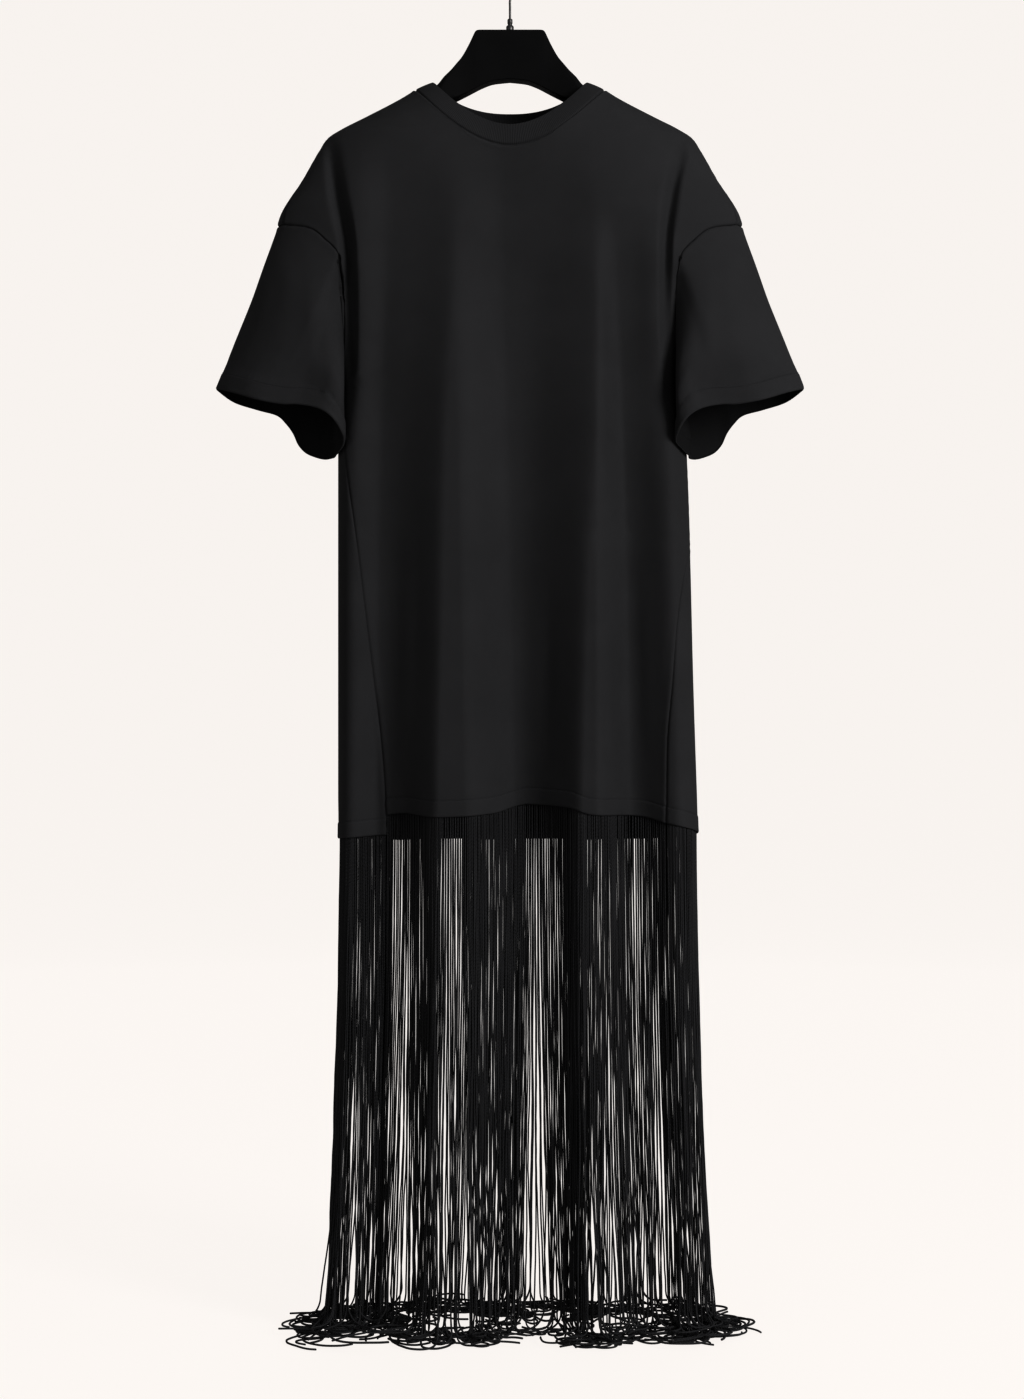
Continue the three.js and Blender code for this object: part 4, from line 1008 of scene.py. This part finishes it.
def cord_paths(roots):
    """Steps down each cord. Until its bend a cord is steep; over the bend its steepness turns
    evenly from down to level; then it lies on the floor, and its heading drifts."""
    count = len(roots)
    roots = roots + [0, 0, 5.0]
    bundle = np.floor((roots[:, 0] + 400 + chance.uniform(-3, 3, count)) / BUNDLE_WIDE).astype(int)
    way = np.arctan2(roots[:, 1] / 62, roots[:, 0] / 210)
    way = way + chance.normal(0, 0.4, 80)[bundle] + chance.normal(0, 0.6, count)
    stray = chance.random(count) < STRAY_SHARE
    way = np.where(stray, way + chance.uniform(-2.6, 2.6, count), way)
    bend = chance.uniform(*BEND, count)
    reach = np.where(roots[:, 1] < 0, read(HEAPS, "reach", roots[:, 0]), 1.0)
    curly = chance.random(count) < CURLY_SHARE
    run = np.where(curly, chance.uniform(*CURLY_RUN, count), chance.uniform(*STRAIGHT_RUN, count)) * reach
    tight = chance.choice([-1, 1], count) * chance.uniform(0.035, 0.1, count)
    curl = np.where(curly, tight / np.maximum(reach, 1), chance.normal(0, 0.014, count))
    rest = FLOOR_Z + CORD_RADIUS + 0.3 + chance.uniform(0, 1, count) ** 1.5 * HEAP_HIGH
    drop = roots[:, 2] - rest
    hang = drop - FLAT_SHARE * bend
    t = np.linspace(0, 1, HANG_RINGS, endpoint=False)
    low = np.linspace(0, 1, FALL_RINGS)
    s = np.concatenate([hang[:, None] * t, hang[:, None] + (bend + run)[:, None] * low], 1)
    past = np.clip((s - hang[:, None]) / bend[:, None], 0, 1)
    steep = past * np.pi / 2
    laid = np.clip(s - hang[:, None] - bend[:, None] * 0.4, 0, None)
    wander = chance.normal(0, 0.5, (count, 1)) * np.sin(laid / chance.uniform(6, 14, (count, 1)))
    heading = way[:, None] + curl[:, None] * laid + wander
    lean = (steep[:, 1:] + steep[:, :-1]) / 2
    toward = (heading[:, 1:] + heading[:, :-1]) / 2
    step = np.diff(s, axis=1)
    moves = np.stack([np.sin(lean) * np.cos(toward), np.sin(lean) * np.sin(toward), -np.cos(lean)], -1)
    moved = np.cumsum(moves * step[..., None], 1)
    path = np.concatenate([np.zeros((count, 1, 3)), moved], 1) + roots[:, None]
    return path, heading, s


# Each wave has its least and its greatest length, and its height.
FALL = 560
WAVES = [(140, 300, 1.25), (44, 90, 0.2), (18, 27, 0.2)]


def sway(path, s, roots, spread):
    """What the air and the neighbours do to a hanging cord: it closes up towards its band, it
    drifts outwards a little and waves at three lengths of wave, more as it gets lower, and
    near the floor it splays to one side."""
    count = len(path)
    fallen = np.clip(s / FALL, 0, 1)
    gather = fallen**1.5
    own = gathered(roots[:, 0] / spread) * spread - roots[:, 0]
    loose = 0.2 + 0.8 * fallen
    waves = np.zeros(path.shape[:2] + (2,))
    longs = [chance.uniform(least, most, (2, count)) for least, most, _ in WAVES]
    for long, (_, _, high) in zip(longs, WAVES):
        phase = chance.uniform(0, 2 * np.pi, (2, count))
        size = high * chance.uniform(0.3, 1, (2, count))
        wave = size[..., None] * np.sin(2 * np.pi * s / long[..., None] + phase[..., None])
        waves += np.moveaxis(wave, 0, -1)
    splay = chance.normal(0, 4.5, count)[:, None] * ease((s - 380) / 190)
    drift = roots[:, :1] * 0.072 * fallen**1.7
    path[..., 0] += own[:, None] * gather + waves[..., 0] * loose + splay + drift
    path[..., 1] += waves[..., 1] * loose + chance.normal(0, 3.0, count)[:, None] * ease(fallen)
    path[..., 2] = np.maximum(path[..., 2], FLOOR_Z + CORD_RADIUS + 0.15)
    return path


def make_fringe(name, edge, inward, spread, parts):
    """A fringe along one hem, in a few pieces, so that none of them has too many faces. Where a
    cord lies on the floor its end is loosened, and so it is thicker."""
    roots = cord_roots(edge, inward)
    path, heading, s = cord_paths(roots)
    path = sway(path, s, roots, spread)
    side = np.stack([-np.sin(heading), np.cos(heading), 0 * heading], -1)
    loosened = 1 + 0.4 * ease((s - s[:, HANG_RINGS:HANG_RINGS + 1]) / 25)
    radius = CORD_RADIUS * chance.uniform(0.88, 1.1, len(path))[:, None] * loosened
    pieces = []
    for n, (a, b) in enumerate(zip(range(parts), range(1, parts + 1))):
        keep = slice(len(path) * a // parts, len(path) * b // parts)
        piece = add_tubes(f"{name}_{n + 1}", path[keep], side[keep], radius[keep], 5)
        piece.data.materials.append(CORD)
        pieces.append(piece)
    print(name, len(roots), "cords,", sum(len(p.data.polygons) for p in pieces), "triangles")
    return pieces


def hem_line(plain):
    """The hem's lowest row and the level direction from it into the dress."""
    inward = -normals(plain)[-1]
    inward[:, 2] = 0
    return plain[-1], inward / np.linalg.norm(inward, axis=1, keepdims=True)


front_cords = make_fringe("front_fringe", *hem_line(front_plain), 0.975, 2)
back_cords = make_fringe("back_fringe", *hem_line(back_plain), 1.024, 3)


# %% The tape that the cords are sewn to
TAPE_HEIGHTS = np.array([8.5, 6, 3.5, 1.0])[:, None]


def make_tape(name, plain):
    """A flat tape behind the hem: the hem's line moved in, and again eight millimetres up."""
    edge, inward = hem_line(plain)
    base = edge + inward * 1.55
    rise = TAPE_HEIGHTS[..., None] * np.array([0, 0, 1.0])
    length = np.concatenate([[0], np.cumsum(np.linalg.norm(np.diff(edge, axis=0), axis=1))])
    uv = np.stack(np.broadcast_arrays(length[None], TAPE_HEIGHTS), -1)
    piece = add_grid(name, base[None] + rise, uv)
    add_wall(piece, 0.7)
    piece.data.materials.append(CORD)
    return piece


front_tape = make_tape("front_fringe_tape", front_plain)
back_tape = make_tape("back_fringe_tape", back_plain)

# %% [markdown]
# ## Hanger
# A moulded hanger: a plate under the hook, flaring into two arms over an arch. Its stations
# give its top, bottom and depth along the arms, and each section is a rounded oblong.

# %% Make the hanger
HANGER = table("x top bottom depth", [
    (0, -93.6, -148.8, 22), (18, -93.6, -150.8, 22), (33, -93.6, -156.2, 22), (36.5, -93.9, -158, 22),
    (38.6, -95, -159.1, 22), (40.2, -97.6, -160, 22), (41.4, -100.2, -160.6, 22),
    (46.7, -111.4, -163.4, 22.4), (54.5, -125, -167.2, 23.5), (60.2, -131.8, -170, 25),
    (66.4, -138.5, -173.2, 27), (74.3, -145.3, -177.6, 30), (84, -156, -183.5, 33), (105, -165.5, -194, 34),
    (128, -177.5, -205, 34), (155, -191.5, -217, 32), (180, -204.5, -229, 30), (191, -212, -234.5, 27),
    (197, -219, -235, 20), (199, -223, -231, 11),
])
PLATE_CORNER, CORNER_GAIN = 1.2, 15


def close_ends(piece):
    """Join the points that lie together and turn every face outwards."""
    work = bmesh.new()
    work.from_mesh(piece.data)
    bmesh.ops.remove_doubles(work, verts=work.verts, dist=1e-6)
    bmesh.ops.dissolve_degenerate(work, edges=work.edges, dist=1e-7)
    bmesh.ops.recalc_face_normals(work, faces=work.faces)
    work.to_mesh(piece.data)
    work.free()


def make_hanger():
    """Sections along the arms, each an oblong with four round corners: small in the plate under
    the hook, and larger along the arms."""
    half = np.concatenate([np.linspace(0, 32, 9), np.linspace(33, 90, 44), np.linspace(93, 199, 40)])
    x = np.concatenate([-half[:0:-1], half])
    top, bottom, depth = (read(HANGER, key, np.abs(x))[:, None] for key in ("top", "bottom", "depth"))
    squared = ease((np.abs(x) - 56) / 30)[:, None]
    wide, tall = depth / 2, (top - bottom) / 2
    corner = np.minimum(PLATE_CORNER + squared * CORNER_GAIN, np.minimum(wide, tall) * 0.97)
    quarters = np.repeat(np.arange(4), 9)
    turn = quarters * np.pi / 2 + np.tile(np.linspace(0, np.pi / 2, 9), 4)
    middle = (quarters + 0.5) * np.pi / 2
    y = np.sign(np.cos(middle)) * (wide - corner) + corner * np.cos(turn)
    z = (top + bottom) / 2 + np.sign(np.sin(middle)) * (tall - corner) + corner * np.sin(turn)
    rings = np.stack(np.broadcast_arrays(x[:, None], y, z), -1)
    centre = rings.mean(1, keepdims=True)
    ends = [centre[:1] + (rings[:1] - centre[:1]) * 1e-4, centre[-1:] + (rings[-1:] - centre[-1:]) * 1e-4]
    rings = np.concatenate([ends[0], rings, ends[1]])
    piece = add_grid("hanger_moulding", rings, np.zeros((len(rings), 37, 2)), closed=True)
    close_ends(piece)
    piece.data.materials.append(PLASTIC)
    return piece


hanger = make_hanger()
print("hanger", len(hanger.data.polygons), "faces")

# %% Make the ferrule and the hook
WIRE = 1.2
EYE_RADIUS, EYE_Z = 21.2, -20


def make_ferrule():
    """A small turned cap: a profile of radius and height, spun round the wire."""
    profile = np.array([
        (0, -93.3), (3.9, -93.3), (4.2, -93.0), (4.2, -87.8), (3.9, -87.4), (3.1, -86.6), (2.4, -85.9),
        (2.4, -84.6), (2.8, -84.2), (2.8, -80.0), (2.5, -79.4), (0, -79.4),
    ])
    turn = np.arange(40) / 40 * 2 * np.pi
    r, z = profile[:, :1], np.repeat(profile[:, 1:], 40, 1)
    points = np.stack([r * np.cos(turn), r * np.sin(turn), z], -1)
    piece = add_grid("hanger_ferrule_turned", points, np.zeros((len(profile), 41, 2)), closed=True)
    close_ends(piece)
    piece.data.materials.append(STEEL)
    return piece


def make_hook():
    """The wire: straight up, a slant, and most of a circle, with a tube round it."""
    turn = np.radians(np.linspace(-38, 205, 13))
    arc = np.stack([EYE_RADIUS * np.cos(turn), 0 * turn, EYE_Z + EYE_RADIUS * np.sin(turn)], -1)
    shank = [(0, 0, -79.1), (0, 0, -72), (0, 0, -65), (0, 0, -59), (1.8, 0, -53.5), (6.3, 0, -46.5),
             (12, 0, -39.2)]
    path = smooth_line(np.vstack([shank, arc]), np.linspace(0, 1, 150))[None]
    side = np.broadcast_to(np.array([0.0, 1.0, 0.0]), path.shape)
    radius = np.full(path.shape[:2], WIRE)
    radius[0, -3:] = [WIRE * 0.96, WIRE * 0.85, WIRE * 0.55]
    piece = add_tubes("hanger_hook_wire", path, side, radius, 16)
    piece.data.materials.append(STEEL)
    return piece


ferrule = make_ferrule()
hook = make_hook()
print("hook", len(hook.data.polygons), "faces")

# %% [markdown]
# ## Join the pieces to the frame
# Every piece hangs with the one body, and the nodes that it stands for are hidden. The size of
# each cut sheet is measured here on the cloth before it is sewn and raised, and printed.


# %% Ride, replace and measure
def cut_size(plain, closed=False):
    """The widest row, the longest column and the area of a piece of cloth, in metres."""
    grid = np.concatenate([plain, plain[:, :1]], 1) if closed else plain
    a, b = grid[1:, 1:] - grid[:-1, :-1], grid[:-1, 1:] - grid[1:, :-1]
    area = np.linalg.norm(np.cross(a, b), axis=-1).sum() / 2
    return lengths(grid, 1)[:, -1].max() * 0.001, lengths(grid, 0)[-1].max() * 0.001, area * 1e-6


def hang(piece, slot, *nodes):
    """Say which body a piece hangs with, and which nodes it stands for; slot is not used."""
    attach(piece, "root")
    if nodes:
        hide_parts(*nodes)


hang(front, "jersey", "front_panel")
hang(back, "jersey", "back_panel")
hang(left_sleeve, "jersey", "sleeve_left")
hang(right_sleeve, "jersey", "sleeve_right")
hang(band, "rib", "neck_band")
hang(hanger, "plastic", "hanger_body")
hang(ferrule, "steel", "hanger_ferrule")
hang(hook, "steel", "hanger_hook")
for piece in front_cords + [front_tape]:
    hang(piece, "fringe", "fringe_front")
for piece in back_cords + [back_tape]:
    hang(piece, "fringe", "fringe_back")
for piece in stitches.values():
    hang(piece, "jersey")

cuts = {
    "front": (front, front_plain, False, ["hanger_moulding"], [stitches["front"], front_tape, *front_cords]),
    "back": (back, back_plain, False, ["hanger_moulding"], [stitches["back"], back_tape, *back_cords]),
    "left sleeve": (left_sleeve, left_plain, True, ["front_jersey"], [stitches["left"]]),
    "right sleeve": (right_sleeve, right_plain, True, ["front_jersey"], [stitches["right"]]),
}
for label, (piece, plain, closed, on, carried) in cuts.items():
    wide, long, area = cut_size(plain, closed)
    print(label, "cut", round(wide, 3), "by", round(long, 3), "m, area", round(area, 4), "m2")
seam, top = neck_ring()
